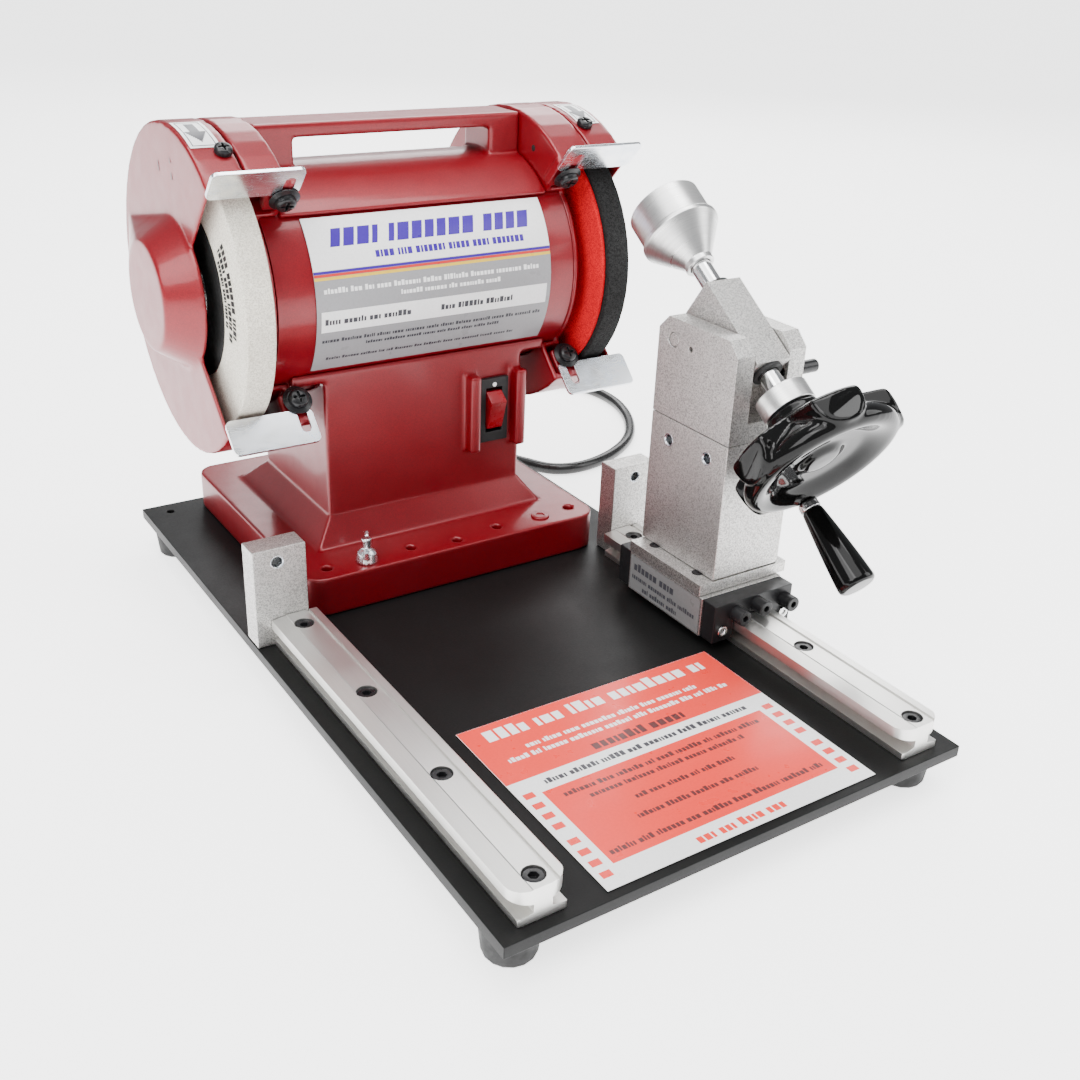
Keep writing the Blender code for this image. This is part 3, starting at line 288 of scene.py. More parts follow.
def lathe_turned(name, color):
    """Aluminium with the fine rings of a lathe about the spindle's axis."""
    m = Material(name, color, 0.32, 1.0)
    turn = (math.radians(90 + SPINDLE_SLOPE), 0.0, 0.0)
    values = {"Vector": m.place, "Rotation": turn, "Scale": (60.0, 60.0, 1.0)}
    vector = m.node("ShaderNodeMapping", values, vector_type="TEXTURE").outputs[0]
    values = {"Vector": vector, "Scale": 1000 / 0.7, "Detail": 3.0, "Roughness": 0.7}
    rings = m.node("ShaderNodeTexNoise", values).outputs["Fac"]
    m.color(m.mix(m.spread(rings, 0.3, 0.7), shaded(color, 0.8), color))
    m.roughness(m.spread(rings, 0.3, 0.7, 0.4, 0.26))
    return m.bump(rings, 0.03, 0.5).data


def moulded(name, color, roughness, coat=0.0, depth=0.03, size_mm=0.7, specular=0.35):
    m = Material(name, color, roughness, 0.0, Coat_Weight=coat, Coat_Roughness=0.04)
    m.shader.inputs["Specular IOR Level"].default_value = specular
    grain = m.noise(size_mm, 3)
    cloud = m.noise(16, 3)
    m.color(m.mix(m.spread(cloud, 0.35, 0.65), shaded(color, 0.75), shaded(color, 1.2)))
    m.roughness(m.spread(m.noise(4, 4, 0.6), 0.3, 0.7, roughness * 1.25, roughness * 0.8))
    return m.bump(grain, depth, 0.5).data


def abrasive(name, dark, light, grain_mm, depth):
    m = Material(name, light, 0.92, Specular_IOR_Level=0.2)
    grit = m.cells(grain_mm)
    fine = m.noise(grain_mm * 0.8, 4, 0.7)
    cloud = m.noise(18, 3)
    tone = m.mix(m.spread(m.add(grit, fine), 0.45, 1.35), dark, light)
    m.color(m.mix(m.spread(cloud, 0.4, 0.75, 0.0, 0.35), tone, dark))
    m.roughness(m.spread(fine, 0.3, 0.7, 0.98, 0.84))
    return m.bump(m.add(grit, fine), depth, 0.8).data


def printed(name, color):
    m = Material(name, color, 0.36, 0.0, Coat_Weight=0.1, Coat_Roughness=0.12, Specular_IOR_Level=0.3)
    m.color(m.mix(m.spread(m.noise(1.2, 4, 0.7), 0.4, 0.7), color, shaded(color, 0.93)))
    m.roughness(m.spread(m.noise(7, 4), 0.3, 0.7, 0.4, 0.26))
    return m.bump(m.noise(3, 2), 0.02, 0.3).data


def powder_coat():
    m = Material("powder_coat", (0.005, 0.005, 0.005), 0.42, Specular_IOR_Level=0.18)
    grain = m.noise(0.7, 3, 0.6)
    cloud = m.noise(30, 4)
    dust = m.spread(m.noise(0.6, 2, 0.8), 0.7, 0.76)
    m.color(m.mix(m.add(dust, 0.2, "MULTIPLY"), (0.005, 0.005, 0.005), (0.06, 0.06, 0.06)))
    m.roughness(m.spread(m.add(cloud, grain), 0.7, 1.3, 0.52, 0.38))
    return m.bump(grain, 0.05, 0.6).data


def zinc():
    m = Material("zinc", (0.83, 0.86, 0.9), 0.22, 1.0)
    spangle = m.noise(7, 3, 0.6)
    scratch = m.noise(0.5, 3, 0.7, (0.06, 1, 1))
    m.color(m.mix(m.spread(spangle, 0.35, 0.65), (0.74, 0.78, 0.84), (0.9, 0.92, 0.94)))
    m.roughness(m.spread(m.add(spangle, scratch), 0.75, 1.25, 0.3, 0.16))
    return m.bump(scratch, 0.015, 0.5).data


MATERIALS = {
    "red": red_paint("red_paint", (0.17, 0.0, 0.005), (0.26, 0.0, 0.007), 0.32),
    "red_matt": red_paint("red_paint_dull", (0.15, 0.0, 0.004), (0.24, 0.0, 0.006), 0.26),
    "rail": satin("drawn_aluminium", (0.86, 0.85, 0.82)),
    "block": tumbled("tumbled_aluminium", (0.7, 0.685, 0.665)),
    "turned": lathe_turned("turned_aluminium", (0.8, 0.795, 0.785)),
    "steel": bare_metal("steel", (0.66, 0.65, 0.64), 0.24, 0.8, 0.015),
    "chrome": bare_metal("bright_steel", (0.9, 0.9, 0.9), 0.14, 1.5, 0.006),
    "zinc": zinc(),
    "screw": moulded("black_oxide", (0.008, 0.008, 0.009), 0.3, 0.1, 0.02, 0.5, 0.3),
    "rubber": moulded("rubber", (0.018, 0.018, 0.018), 0.62, 0.0, 0.05, 0.6),
    "plastic": moulded("black_plastic", (0.012, 0.012, 0.013), 0.38, 0.0, 0.04, 0.5),
    "gloss": moulded("polished_black", (0.003, 0.003, 0.003), 0.07, 0.05, 0.004, 6.0, 0.2),
    "rocker": moulded("red_plastic", (0.26, 0.0, 0.006), 0.28, 0.2, 0.01, 0.8),
    "stone": abrasive("cream_abrasive", (0.55, 0.51, 0.42), (0.93, 0.89, 0.78), 0.42, 0.1),
    "honing": abrasive("black_abrasive", (0.004, 0.004, 0.004), (0.026, 0.026, 0.026), 0.5, 0.14),
    "felt": abrasive("red_facing", (0.4, 0.0, 0.006), (0.78, 0.002, 0.012), 0.45, 0.1),
    "plate": powder_coat(),
    "cord": moulded("cord_jacket", (0.012, 0.012, 0.012), 0.3, 0.15, 0.02, 1.2),
    # dark is print on the stone, and painted shade beside the guard cover and inside a hole.
    "core": bare_metal("laminations", (0.42, 0.4, 0.38), 0.4, 0.5, 0.03, (8, 1, 1)),
    "dark": moulded("dark_print_and_painted_shade", (0.01, 0.01, 0.01), 0.6, 0.0, 0.02, 0.6),
    "white": printed("print_white", (0.92, 0.92, 0.92)),
    "silver": printed("print_silver", (0.3, 0.3, 0.31)),
    "grey": printed("print_grey", (0.2, 0.2, 0.2)),
    "blue": printed("print_blue", (0.05, 0.015, 0.3)),
    "navy": printed("print_dark", (0.05, 0.05, 0.06)),
    "crimson": printed("print_red", (0.62, 0.03, 0.03)),
    "yellow": printed("print_yellow", (0.78, 0.52, 0.05)),
    "orange": printed("print_orange", (0.85, 0.045, 0.03)),
    # ink is print on the label, and painted shade in the cover's dents.
    "ink": printed("print_ink_and_painted_shade", (0.1, 0.03, 0.03)),
}


# ---------------------------------------------------------------- shapes


def link(name, mesh, finish, body, slot=None, nodes=()):
    """Makes a mesh into a finished piece on a body of the frame."""
    obj = bpy.data.objects.new(name, mesh)
    bpy.context.scene.collection.objects.link(obj)
    for one in (finish,) if isinstance(finish, str) else finish:
        mesh.materials.append(MATERIALS[one])
    for face in mesh.polygons:
        face.use_smooth = True
    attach(obj, body)
    if nodes:
        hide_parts(*nodes)
    return obj


def to_mesh(name, bm, matrix):
    bmesh.ops.transform(bm, matrix=matrix, verts=bm.verts)
    bmesh.ops.recalc_face_normals(bm, faces=bm.faces)
    mesh = bpy.data.meshes.new(name)
    bm.to_mesh(mesh)
    bm.free()
    return mesh


def soften(obj, width, segments=2, angle=30):
    """Rounds the edges of a piece and shades it by its larger faces."""
    weld = obj.modifiers.new("Weld", "WELD")
    weld.merge_threshold = WELD_DISTANCE
    if width:
        bevel = obj.modifiers.new("Bevel", "BEVEL")
        bevel.width = width * MM
        bevel.segments = segments
        bevel.limit_method = "ANGLE"
        bevel.angle_limit = math.radians(angle)
        bevel.use_clamp_overlap = True
    obj.modifiers.new("Normals", "WEIGHTED_NORMAL")
    return obj


def rounded(points, radius, steps=4, closed=True):
    """A polygon's points with each corner turned into a small arc."""
    made = []
    count = len(points)
    for i, point in enumerate(points):
        here = Vector(point)
        if not closed and i in (0, count - 1):
            made.append(tuple(here))
            continue
        before = Vector(points[i - 1]) - here
        after = Vector(points[(i + 1) % count]) - here
        cut = min(radius, before.length * 0.45, after.length * 0.45)
        first = here + before.normalized() * cut
        last = here + after.normalized() * cut
        for k in range(steps + 1):
            t = k / steps
            made.append(tuple((1 - t) ** 2 * first + 2 * t * (1 - t) * here + t * t * last))
    return made


def revolve(bm, profile, steps, closed):
    """Adds the surface that (radius, z) points sweep about local Z."""
    rings = []
    for r, z in profile:
        if r < 1e-6:
            rings.append([bm.verts.new((0, 0, z))] * steps)
            continue
        ring = []
        for k in range(steps):
            a = 2 * math.pi * k / steps
            ring.append(bm.verts.new((r * math.cos(a), r * math.sin(a), z)))
        rings.append(ring)
    pairs = list(zip(rings, rings[1:]))
    if closed:
        pairs.append((rings[-1], rings[0]))
    for low, high in pairs:
        for k in range(steps):
            n = (k + 1) % steps
            corners = []
            for vert in (low[k], low[n], high[n], high[k]):
                if vert not in corners:
                    corners.append(vert)
            if len(corners) > 2:
                bm.faces.new(corners)


def lathe(name, profile, finish, body, matrix, round_mm, steps, closed=False, **links):
    """A turned piece from (radius, z) points, whose corners may be rounded."""
    bm = bmesh.new()
    points = rounded(profile, round_mm, 3, closed) if round_mm else profile
    revolve(bm, points, steps, closed)
    obj = link(name, to_mesh(name, bm, matrix), finish, body, **links)
    return soften(obj, 0)


def ring_points(radius, count):
    angles = [2 * math.pi * k / count for k in range(count)]
    return [(radius * math.cos(a), radius * math.sin(a)) for a in angles]


def recessed_head(bm, outer, hole, depth, low, high, edge=0.35):
    """Adds a screw head, from outer's circle down to hole's outline, whose point counts must match."""
    def ring(points, z, shrink=0.0):
        made = []
        for x, y in points:
            r = math.hypot(x, y)
            s = (r - shrink) / r
            made.append(bm.verts.new((x * s, y * s, z)))
        return made
    rings = [
        ring(outer, low),
        ring(outer, high - edge),
        ring(outer, high - edge * 0.3, edge * 0.3),
        ring(outer, high, edge),
        ring(hole, high),
        ring(hole, high - depth),
    ]
    count = len(outer)
    for a, b in zip(rings, rings[1:]):
        for k in range(count):
            n = (k + 1) % count
            bm.faces.new((a[k], a[n], b[n], b[k]))
    bm.faces.new(rings[-1])
    bm.faces.new(list(reversed(rings[0])))


def hexagon(radius, count):
    """Points on a hexagon at the angles of a circle with that many points."""
    points = []
    for k in range(count):
        a = 2 * math.pi * k / count
        sector = (a + math.pi / 6) % (math.pi / 3) - math.pi / 6
        r = radius * math.cos(math.pi / 6) / math.cos(sector)
        points.append((r * math.cos(a), r * math.sin(a)))
    return points


def cross(reach, half, count):
    """Points on a plus shape at the angles of a circle with that many points."""
    points = []
    for k in range(count):
        a = 2 * math.pi * k / count
        quarter = (a + math.pi / 4) % (math.pi / 2) - math.pi / 4
        limit = half / max(abs(math.sin(quarter)), 1e-6)
        r = max(half * 1.35, min(reach, limit))
        points.append((r * math.cos(a), r * math.sin(a)))
    return points


def socket_screw(name, point, axis, radius, height, finish, body, socket=0.5):
    """A cap screw head with a hexagonal socket, standing on a point."""
    bm = bmesh.new()
    count = 36
    recess = hexagon(radius * socket, count)
    recessed_head(bm, ring_points(radius, count), recess, height * 0.55, 0.0, height, radius * 0.12)
    obj = link(name, to_mesh(name, bm, frame_at(point, along(axis))), finish, body)
    return soften(obj, 0.08, 1, 50)


def cast(node, finish, voxel, rounds):
    """A copy of a CAD node with the soft edges and fillets of a casting, which stands for the node."""
    source = frame["nodes"][node]
    graph = bpy.context.evaluated_depsgraph_get()
    mesh = bpy.data.meshes.new_from_object(source.evaluated_get(graph))
    mesh.transform(source.matrix_world)
    bm = bmesh.new()
    bm.from_mesh(mesh)
    bmesh.ops.remove_doubles(bm, verts=bm.verts, dist=WELD_DISTANCE)
    bm.to_mesh(mesh)
    bm.free()
    mesh.materials.clear()
    return voxel_piece(f"{node}_casting", mesh, finish, body_of(source)[0], voxel, rounds, node)


def voxel_piece(name, mesh, finish, body, voxel, rounds, node):
    """A mesh rebuilt on a grid of small cells and smoothed, which stands for a CAD node."""
    maker = bpy.data.objects.new(name + "_maker", mesh)
    bpy.context.scene.collection.objects.link(maker)
    remesh = maker.modifiers.new("Remesh", "REMESH")
    remesh.mode = "VOXEL"
    remesh.voxel_size = voxel * MM
    remesh.adaptivity = 0.0
    smooth = maker.modifiers.new("Smooth", "SMOOTH")
    smooth.factor = 0.5
    smooth.iterations = rounds
    bpy.context.view_layer.update()
    graph = bpy.context.evaluated_depsgraph_get()
    made = bpy.data.meshes.new_from_object(maker.evaluated_get(graph))
    bpy.data.objects.remove(maker, do_unlink=True)
    made.materials.clear()
    return link(name, made, finish, body, nodes=(node,), slot=node)


def patch(bm, corners, index, lift, lean, map_point, steps):
    """Adds a sheet of faces over a (u0, v0, u1, v1) rectangle that may lean to one side."""
    u0, v0, u1, v1 = corners
    rows = []
    for j in range(steps + 1):
        v = v0 + (v1 - v0) * j / steps
        shift = lean * (v - v0)
        rows.append([bm.verts.new(map_point(u + shift, v, lift)) for u in (u0, u1)])
    for low, high in zip(rows, rows[1:]):
        face = bm.faces.new((low[0], low[1], high[1], high[0]))
        face.material_index = index


# ---------------------------------------------------------------- pieces from the frame's own shapes

DRESSED = {
    "base_plate": ("plate", 0.3),
    "foot_front_left": ("rubber", 1.0),
    "foot_front_right": ("rubber", 1.0),
    "foot_rear_left": ("rubber", 1.0),
    "foot_rear_right": ("rubber", 1.0),
    "rail_left": ("rail", 0.2),
    "rail_right": ("rail", 0.2),
    "stop_block_left": ("block", 0.4),
    "stop_block_right": ("block", 0.4),
    "motor_housing": ("red", 0.2),
    "shield_upper_left": ("zinc", 0.3),
    "shield_lower_left": ("zinc", 0.3),
    "shield_upper_right": ("zinc", 0.3),
    "shield_lower_right": ("zinc", 0.3),
    "stator_core": ("core", 0.2),
    "rotor_core": ("core", 0.2),
    "motor_shaft": ("steel", 0.3),
    "bearing_left": ("chrome", 0.2),
    "bearing_right": ("chrome", 0.2),
    "grinding_wheel": ("stone", 0.7),
    "honing_wheel": ("honing", 0.7),
    "honing_wheel_face": ("felt", 0.4),
    "flange_nut_left": ("steel", 0.3),
    "flange_nut_right": ("steel", 0.3),
    "switch_bezel": ("plastic", 0.3),
    "switch_rocker": ("rocker", 0.4),
    "carriage_body": ("block", 0.3),
    "carriage_cap_front": ("plastic", 0.5),
    "carriage_cap_rear": ("plastic", 0.5),
    "adapter_plate": ("block", 0.3),
    "post_lower": ("block", 0.5),
    "post_upper": ("block", 0.5),
    "spindle_housing": ("block", 0.6),
    "spindle_shaft": ("chrome", 0.4),
    "spindle_collar": ("turned", 0.5),
    "pivot_pin": ("block", 0.5),
    "plug": ("rubber", 0.8),
}


def dress(node, finish, width):
    """Gives a CAD node its finish and rounds its edges."""
    obj = frame["nodes"][node]
    for item in obj.material_slots:
        item.material = MATERIALS[finish]
    for face in obj.data.polygons:
        face.use_smooth = True
    soften(obj, width)


for one_node, (one_finish, one_width) in DRESSED.items():
    dress(one_node, one_finish, one_width)

for side in ("left", "right"):
    cast(f"guard_cover_{side}", "red", 0.7, 20)
    cast(f"guard_inner_{side}", "red", 0.7, 6)
cast("top_frame", "red", 0.8, 6)
cast("pedestal", "red_matt", 0.9, 4)
cast("wing_screw", "zinc", 0.35, 4)


# ---------------------------------------------------------------- screws


def driver_screw(name, matrix, radius, low, height, node):
    """A pan head with a cross recess, on local Z."""
    bm = bmesh.new()
    count = 48
    recess = cross(radius * 0.62, radius * 0.13, count)
    recessed_head(bm, ring_points(radius, count), recess, height * 0.5, 0, height, radius * 0.3)
    bmesh.ops.translate(bm, vec=(0, 0, low), verts=bm.verts)
    obj = link(name, to_mesh(name, bm, matrix), "screw", "base", nodes=(node,), slot=node)
    return soften(obj, 0.1, 2, 50)


GUARD_SCREWS = {"left": (19.0, 253.4, 197.2), "right": (195.7, 256.7, 198.8)}
for side, (x, y, z) in GUARD_SCREWS.items():
    outward = Vector((0, y - WHEEL_Y, z - WHEEL_Z)).normalized()
    seat = Vector((x, WHEEL_Y, WHEEL_Z)) + outward * (GUARD_RADIUS + 0.2)
    matrix = frame_at(seat, along(outward))
    driver_screw(f"guard_screw_head_{side}", matrix, 3.7, 0.0, 2.6, f"guard_screw_{side}")

SHIELD_SCREWS = {
    "upper_left": ("upper", 38.0, 65.3),
    "lower_left": ("lower", 40.0, 60.1),
    "upper_right": ("upper", 176.0, 64.3),
    "lower_right": ("lower", 181.0, 60.4),
}
for label, (edge, x, radius) in SHIELD_SCREWS.items():
    matrix, facing = shield_frame(edge)
    matrix = matrix @ Matrix.Translation((x, radius, 0))
    if facing < 0:
        matrix = matrix @ Matrix.Rotation(math.pi, 4, "X")
    node = f"shield_screw_{label}"
    driver_screw(f"shield_screw_head_{label}", matrix, 4.4, 3.1, 2.7, node)
    washer = ((0.0, 2.1), (6.5, 2.1), (6.6, 2.5), (5.4, 3.0), (4.8, 3.3), (0.0, 3.3))
    lathe(f"shield_washer_{label}", washer, "screw", "base", matrix, 0.15, 48, slot=node)
    shank = ((0.0, -2.6), (1.9, -2.6), (1.9, 2.2), (0.0, 2.2))
    lathe(f"shield_shank_{label}", shank, "steel", "base", matrix, 0.2, 24, slot=node)

RAIL_X = {"left": 17.4, "right": 192.1}
RAIL_SCREWS = 4
RAIL_FIRST_Y = 11.0
RAIL_PITCH = 60.0
RAIL_BORE_Z = 9.05
for side, x in RAIL_X.items():
    for i in range(RAIL_SCREWS):
        point = (x, RAIL_FIRST_Y + RAIL_PITCH * i, RAIL_BORE_Z)
        socket_screw(f"rail_screw_{side}_{i}", point, (0, 0, 1), 3.9, 3.9, "screw", "base")

socket_screw("flange_screw", (156.9, 222.4, 18.9), (0, 0, 1), 4.6, 1.0, "red_matt", "base")

CAP_FRONT_Y = 103.25
CAP_REAR_Y = 172.25
for i, (x, z) in enumerate(((181.8, 16.5), (193.7, 18.2), (210.1, 15.9))):
    point = (x, CAP_FRONT_Y, z)
    socket_screw(f"gib_adjuster_{i}", point, (0, -1, 0), 3.5, 6.5, "plastic", "carriage", socket=0.45)
for i, x in enumerate((174.3, 209.9)):
    point = (x, CAP_FRONT_Y, 9.6)
    socket_screw(f"cap_screw_{i}", point, (0, -1, 0), 2.6, 1.3, "chrome", "carriage", socket=0.55)
for i, x in enumerate((174.3, 192.1, 209.9)):
    point = (x, CAP_REAR_Y, 17.5)
    socket_screw(f"rear_cap_screw_{i}", point, (0, 1, 0), 2.6, 1.3, "chrome", "carriage", socket=0.55)

HOLE_RIM = ((2.7, 0.0), (2.75, 0.08), (3.0, 0.06), (3.1, -0.1), (2.7, -0.1))


def thread(name, point, axis, slot, body):
    """The turns of a thread that line a tapped hole, from its mouth inward."""
    pitch, outer, inner, turns = 0.9, 2.68, 2.2, 7
    profile = [(outer, 0.0)]
    for k in range(turns):
        z = -pitch * k
        profile += [(outer - 0.05, z), (inner, z - pitch * 0.5)]
    profile.append((outer, -pitch * turns))
    lathe(name, profile, "zinc", body, frame_at(point, along(axis)), 0.0, 40, closed=True, slot=slot)


for label, (x, z) in (("left", (11.1, 39.4)), ("right", (198.4, 39.9))):
    thread(f"stop_thread_{label}", (x, 201.6, z), (0, -1, 0), f"stop_block_{label}", "base")
    mouth = frame_at((x, 201.5, z), along((0, -1, 0)))
    links = {"closed": True, "slot": f"stop_block_{label}"}
    lathe(f"stop_hole_rim_{label}", HOLE_RIM, "zinc", "base", mouth, 0.0, 40, **links)
for i, (y, z) in enumerate(((152.8, 81.0), (127.0, 81.5))):
    thread(f"post_thread_{i}", (176.7, y, z), (-1, 0, 0), "post_lower", "carriage")
    mouth = frame_at((176.6, y, z), along((-1, 0, 0)))
    links = {"closed": True, "slot": "post_lower"}
    lathe(f"post_hole_rim_{i}", HOLE_RIM, "zinc", "carriage", mouth, 0.0, 40, **links)

for i, y in enumerate((124.3, 154.9)):
    seat = frame_at((176.0, y, 28.02), along((0, 0, 1)))
    disc = ((0, 0), (2.6, 0), (2.6, 0.16), (2.4, 0.22), (0, 0.22))
    lathe(f"post_foot_screw_{i}", disc, "screw", "carriage", seat, 0.0, 32, slot="adapter_plate")
# A dark disc on the right inner guard is painted shade inside a small hole.
seat = frame_at((170.95, 261.5, 189.0), along((-1, 0, 0)))
disc = ((0, 0), (1.5, 0), (1.4, 0.1), (0, 0.12))
lathe("guard_hole_painted_shade", disc, "dark", "base", seat, 0.0, 32, slot="guard_inner_right")

LOCK = frame_at((0, 118.0, 118.8), along((1, 0, 0)))
bm = bmesh.new()
recessed_head(bm, ring_points(2.9, 36), hexagon(1.5, 36), 4.5, 214.6, 224.4, 0.4)
head = to_mesh("lock_screw_head", bm, LOCK)
obj = link("lock_screw_head", head, "screw", "lock", nodes=("lock_screw",), slot="lock_screw")
soften(obj, 0.1, 1, 50)
shank = ((0, 206), (1.9, 206), (1.9, 214.8), (0, 214.8))
lathe("lock_screw_shank", shank, "screw", "lock", LOCK, 0.2, 24, slot="lock_screw")


# ---------------------------------------------------------------- spindle, handwheel and handle

HUB = (
    (4.8, -78.5),
    (6.6, -78.5),
    (6.6, -81.0),
    (17.8, -96.0),
    (17.8, -98.0),
    (16.5, -98.5),
    (16.5, -112.9),
    (4.8, -112.9),
)
links = {"closed": True, "nodes": ("blade_hub",), "slot": "blade_hub"}
lathe("blade_cone", HUB, "turned", "spindle", SPINDLE, 0.35, 96, **links)
for name, low, high in (("seal_rear", -66.4, -64.9), ("seal_front", -21.1, -19.4)):
    ring = ((4.7, low), (6.8, low), (6.8, high), (4.7, high))
    links = {"closed": True, "slot": "strain_relief"}
    lathe(f"spindle_{name}", ring, "rubber", "spindle_head", SPINDLE, 0.3, 48, **links)

DISH = (
    (0.0, 22.4),
    (4.8, 22.4),
    (4.8, 0.3),
    (12.0, 0.3),
    (12.0, 4.8),
    (15.0, 8.0),
    (28.0, 16.5),
    (32.4, 19.5),
    (34.4, 22.5),
    (34.6, 25.0),
    (33.6, 27.2),
    (31.6, 28.3),
    (28.6, 28.3),
    (25.0, 26.6),
    (20.0, 23.4),
    (10.0, 22.8),
    (8.0, 25.2),
    (0.0, 25.5),
)
HANDLE_OFFSET = (10.0, -29.5, 0.0)
LOBES = 5
LOBE_FIRST = 178.0
LOBE_HALF_WIDTH = 11.0
LOBE_REACH = 36.5
LOBE_BACK = ((0.0, 5.0), (12.0, 5.0), (35.0, 12.6), (36.6, 14.0))
LOBE_FRONT = ((0.0, 20.0), (14.0, 20.0), (31.0, 26.6), (36.6, 27.0))
LOBE_ROUND_Z = 16.0


def along_profile(profile, radius):
    """The height of a (radius, z) line at a radius."""
    for (r0, z0), (r1, z1) in zip(profile, profile[1:]):
        if radius <= r1:
            return z0 + (z1 - z0) * (radius - r0) / (r1 - r0)
    return profile[-1][1]


LOBE_START = 9.0


def lobe_ring(part, across=9, around=20):
    """One section through a lobe, part of the way from near the axis to its outer side."""
    half = LOBE_HALF_WIDTH
    outline = [(-half + 2 * half * k / across, None) for k in range(across + 1)]
    for k in range(around + 1):
        a = math.pi * k / around
        outline.append((half * math.cos(a), LOBE_ROUND_Z + half * math.sin(a)))
    ring = []
    for y, front in outline:
        x = LOBE_START + (math.sqrt(LOBE_REACH ** 2 - y * y) - LOBE_START) * part
        radius = math.hypot(x, y)
        if front is None:
            z = along_profile(LOBE_BACK, radius)
        else:
            z = min(front, along_profile(LOBE_FRONT, radius))
        ring.append((x, y, z))
    return ring


def handwheel():
    """A dished wheel with rounded lobes that stand out from its back and its outer side."""
    bm = bmesh.new()
    revolve(bm, rounded(DISH, 1.2, 4, False), 144, False)
    sections = 16
    for lobe in range(LOBES):
        turn = Matrix.Rotation(math.radians(LOBE_FIRST + 360.0 * lobe / LOBES), 4, "Z")
        rings = []
        for i in range(sections + 1):
            rings.append([bm.verts.new(turn @ Vector(point)) for point in lobe_ring(i / sections)])
        for a, b in zip(rings, rings[1:]):
            for k in range(len(a)):
                n = (k + 1) % len(a)
                bm.faces.new((a[k], a[n], b[n], b[k]))
        bm.faces.new(rings[-1])
        bm.faces.new(list(reversed(rings[0])))
    boss = [(0, 17), (5.2, 17), (4.6, 26), (4.3, 28.4), (0, 28.4)]
    start = len(bm.verts)
    revolve(bm, boss, 40, False)
    bm.verts.ensure_lookup_table()
    bmesh.ops.translate(bm, vec=HANDLE_OFFSET, verts=bm.verts[start:])
    mesh = to_mesh("handwheel_maker", bm, SPINDLE)
    return voxel_piece("handwheel_body", mesh, "gloss", "spindle", 0.6, 40, "handwheel")


handwheel()

GRIP_PLACE = SPINDLE @ Matrix.Translation(HANDLE_OFFSET)
ferrule = ((0, 28.5), (4.3, 28.5), (4.6, 29.3), (4.7, 32.1), (2.3, 32.2), (2.2, 62), (0, 62))
links = {"nodes": ("handle_pin",), "slot": "handle_pin"}
lathe("handle_ferrule", ferrule, "chrome", "spindle", GRIP_PLACE, 0.3, 48, **links)


GRIP_STEPS = 16


def grip_profile():
    """The grip's section: a bore for the pin, and a taper that swells toward a round end."""
    points = [(0.0, 62.3), (2.5, 62.3), (2.5, 32.5), (4.5, 32.5)]
    for k in range(1, GRIP_STEPS + 1):
        t = k / GRIP_STEPS
        points.append((4.6 + 3.7 * (0.62 * t + 0.38 * math.sin(t * math.pi / 2)), 32.7 + 35.6 * t))
    return points + [(8.0, 69.7), (6.9, 70.5), (0.0, 70.6)]


links = {"nodes": ("handle_grip",), "slot": "handle_grip"}
lathe("handle_grip_body", grip_profile(), "gloss", "grip", GRIP_PLACE, 0.4, 64, **links)


# ---------------------------------------------------------------- printed sheets


def sheet_mesh(name, cells, map_point, colors, body, node, steps=1):
    """Printed areas, and patches of painted shade, as (u0, v0, u1, v1, colour, lift) on one surface."""
    bm = bmesh.new()
    for u0, v0, u1, v1, color, lift, *lean in cells:
        patch(bm, (u0, v0, u1, v1), colors.index(color), lift, lean[0] if lean else 0.0, map_point, steps)
    mesh = bpy.data.meshes.new(name)
    bm.to_mesh(mesh)
    bm.free()
    link(name, mesh, colors, body, slot=node)


def dashes(u0, u1, v0, v1, color, seed, lift, lean=0.0, capitals=False):
    """Blocks the size of letters, in groups the size of words, where a line of print would be."""
    source = random.Random(seed)
    height = v1 - v0
    cells = []
    u = u0
    while u < u1 - height:
        for _ in range(source.randint(3, 8)):
            width = source.choice((0.3, 0.5, 0.55, 0.62)) * height
            if u + width > u1:
                break
            top = v1 if capitals else v0 + height * source.choice((0.76, 0.76, 0.76, 1.0))
            cells.append((u, v0, u + width, top, color, lift, lean))
            u += width + 0.16 * height
        u += 0.42 * height
    return cells


NAMEPLATE_RISE = 0.62
INK = 0.03


def plate_angle_point(x, angle, lift):
    """A point on the nameplate, with its angle taken up from the front of the motor."""
    t = math.radians(angle)
    r = MOTOR_RADIUS + NAMEPLATE_RISE + lift
    return place(x, WHEEL_Y - r * math.cos(t), WHEEL_Z + r * math.sin(t))


NAME_COLORS = ("silver", "white", "blue", "crimson", "yellow", "navy")
name_cells = [
    (48.3, 17.8, 166.0, 44.0, "white", 0.0),
    (48.3, 16.4, 166.0, 17.6, "blue", 0.0),
    (48.3, 15.0, 166.0, 16.2, "crimson", 0.0),
    (48.3, 13.4, 166.0, 14.8, "yellow", 0.0),
    (48.3, -1.4, 166.0, 13.2, "silver", 0.0),
    (50.3, -12.2, 164.0, -1.6, "white", 0.0),
    (48.3, -36.0, 166.0, -12.4, "silver", 0.0),
]
name_cells += dashes(58, 156, 28.6, 37.6, "blue", 3, INK, 0.25, True)
name_cells += dashes(78, 157, 21.6, 25.0, "blue", 4, INK, 0.0, True)
name_cells += dashes(52, 160, 7.0, 9.6, "white", 5, INK)
name_cells += dashes(88, 140, 2.6, 5.0, "white", 6, INK)
name_cells += dashes(52, 95, -8.4, -5.4, "navy", 7, INK)
name_cells += dashes(108, 150, -8.4, -5.4, "navy", 8, INK)
name_cells += dashes(51, 162, -18.0, -16.0, "navy", 9, INK)
name_cells += dashes(72, 140, -21.6, -19.8, "navy", 10, INK)
name_cells += dashes(54, 152, -29.0, -27.2, "navy", 11, INK)
dress("nameplate", "silver", 0.05)
sheet_mesh("nameplate_print", name_cells, plate_angle_point, NAME_COLORS, "base", "nameplate", 8)


LABEL_TOP_Z = 0.53


def label_point(x, y, lift):
    return place(x, y, LABEL_TOP_Z + lift)


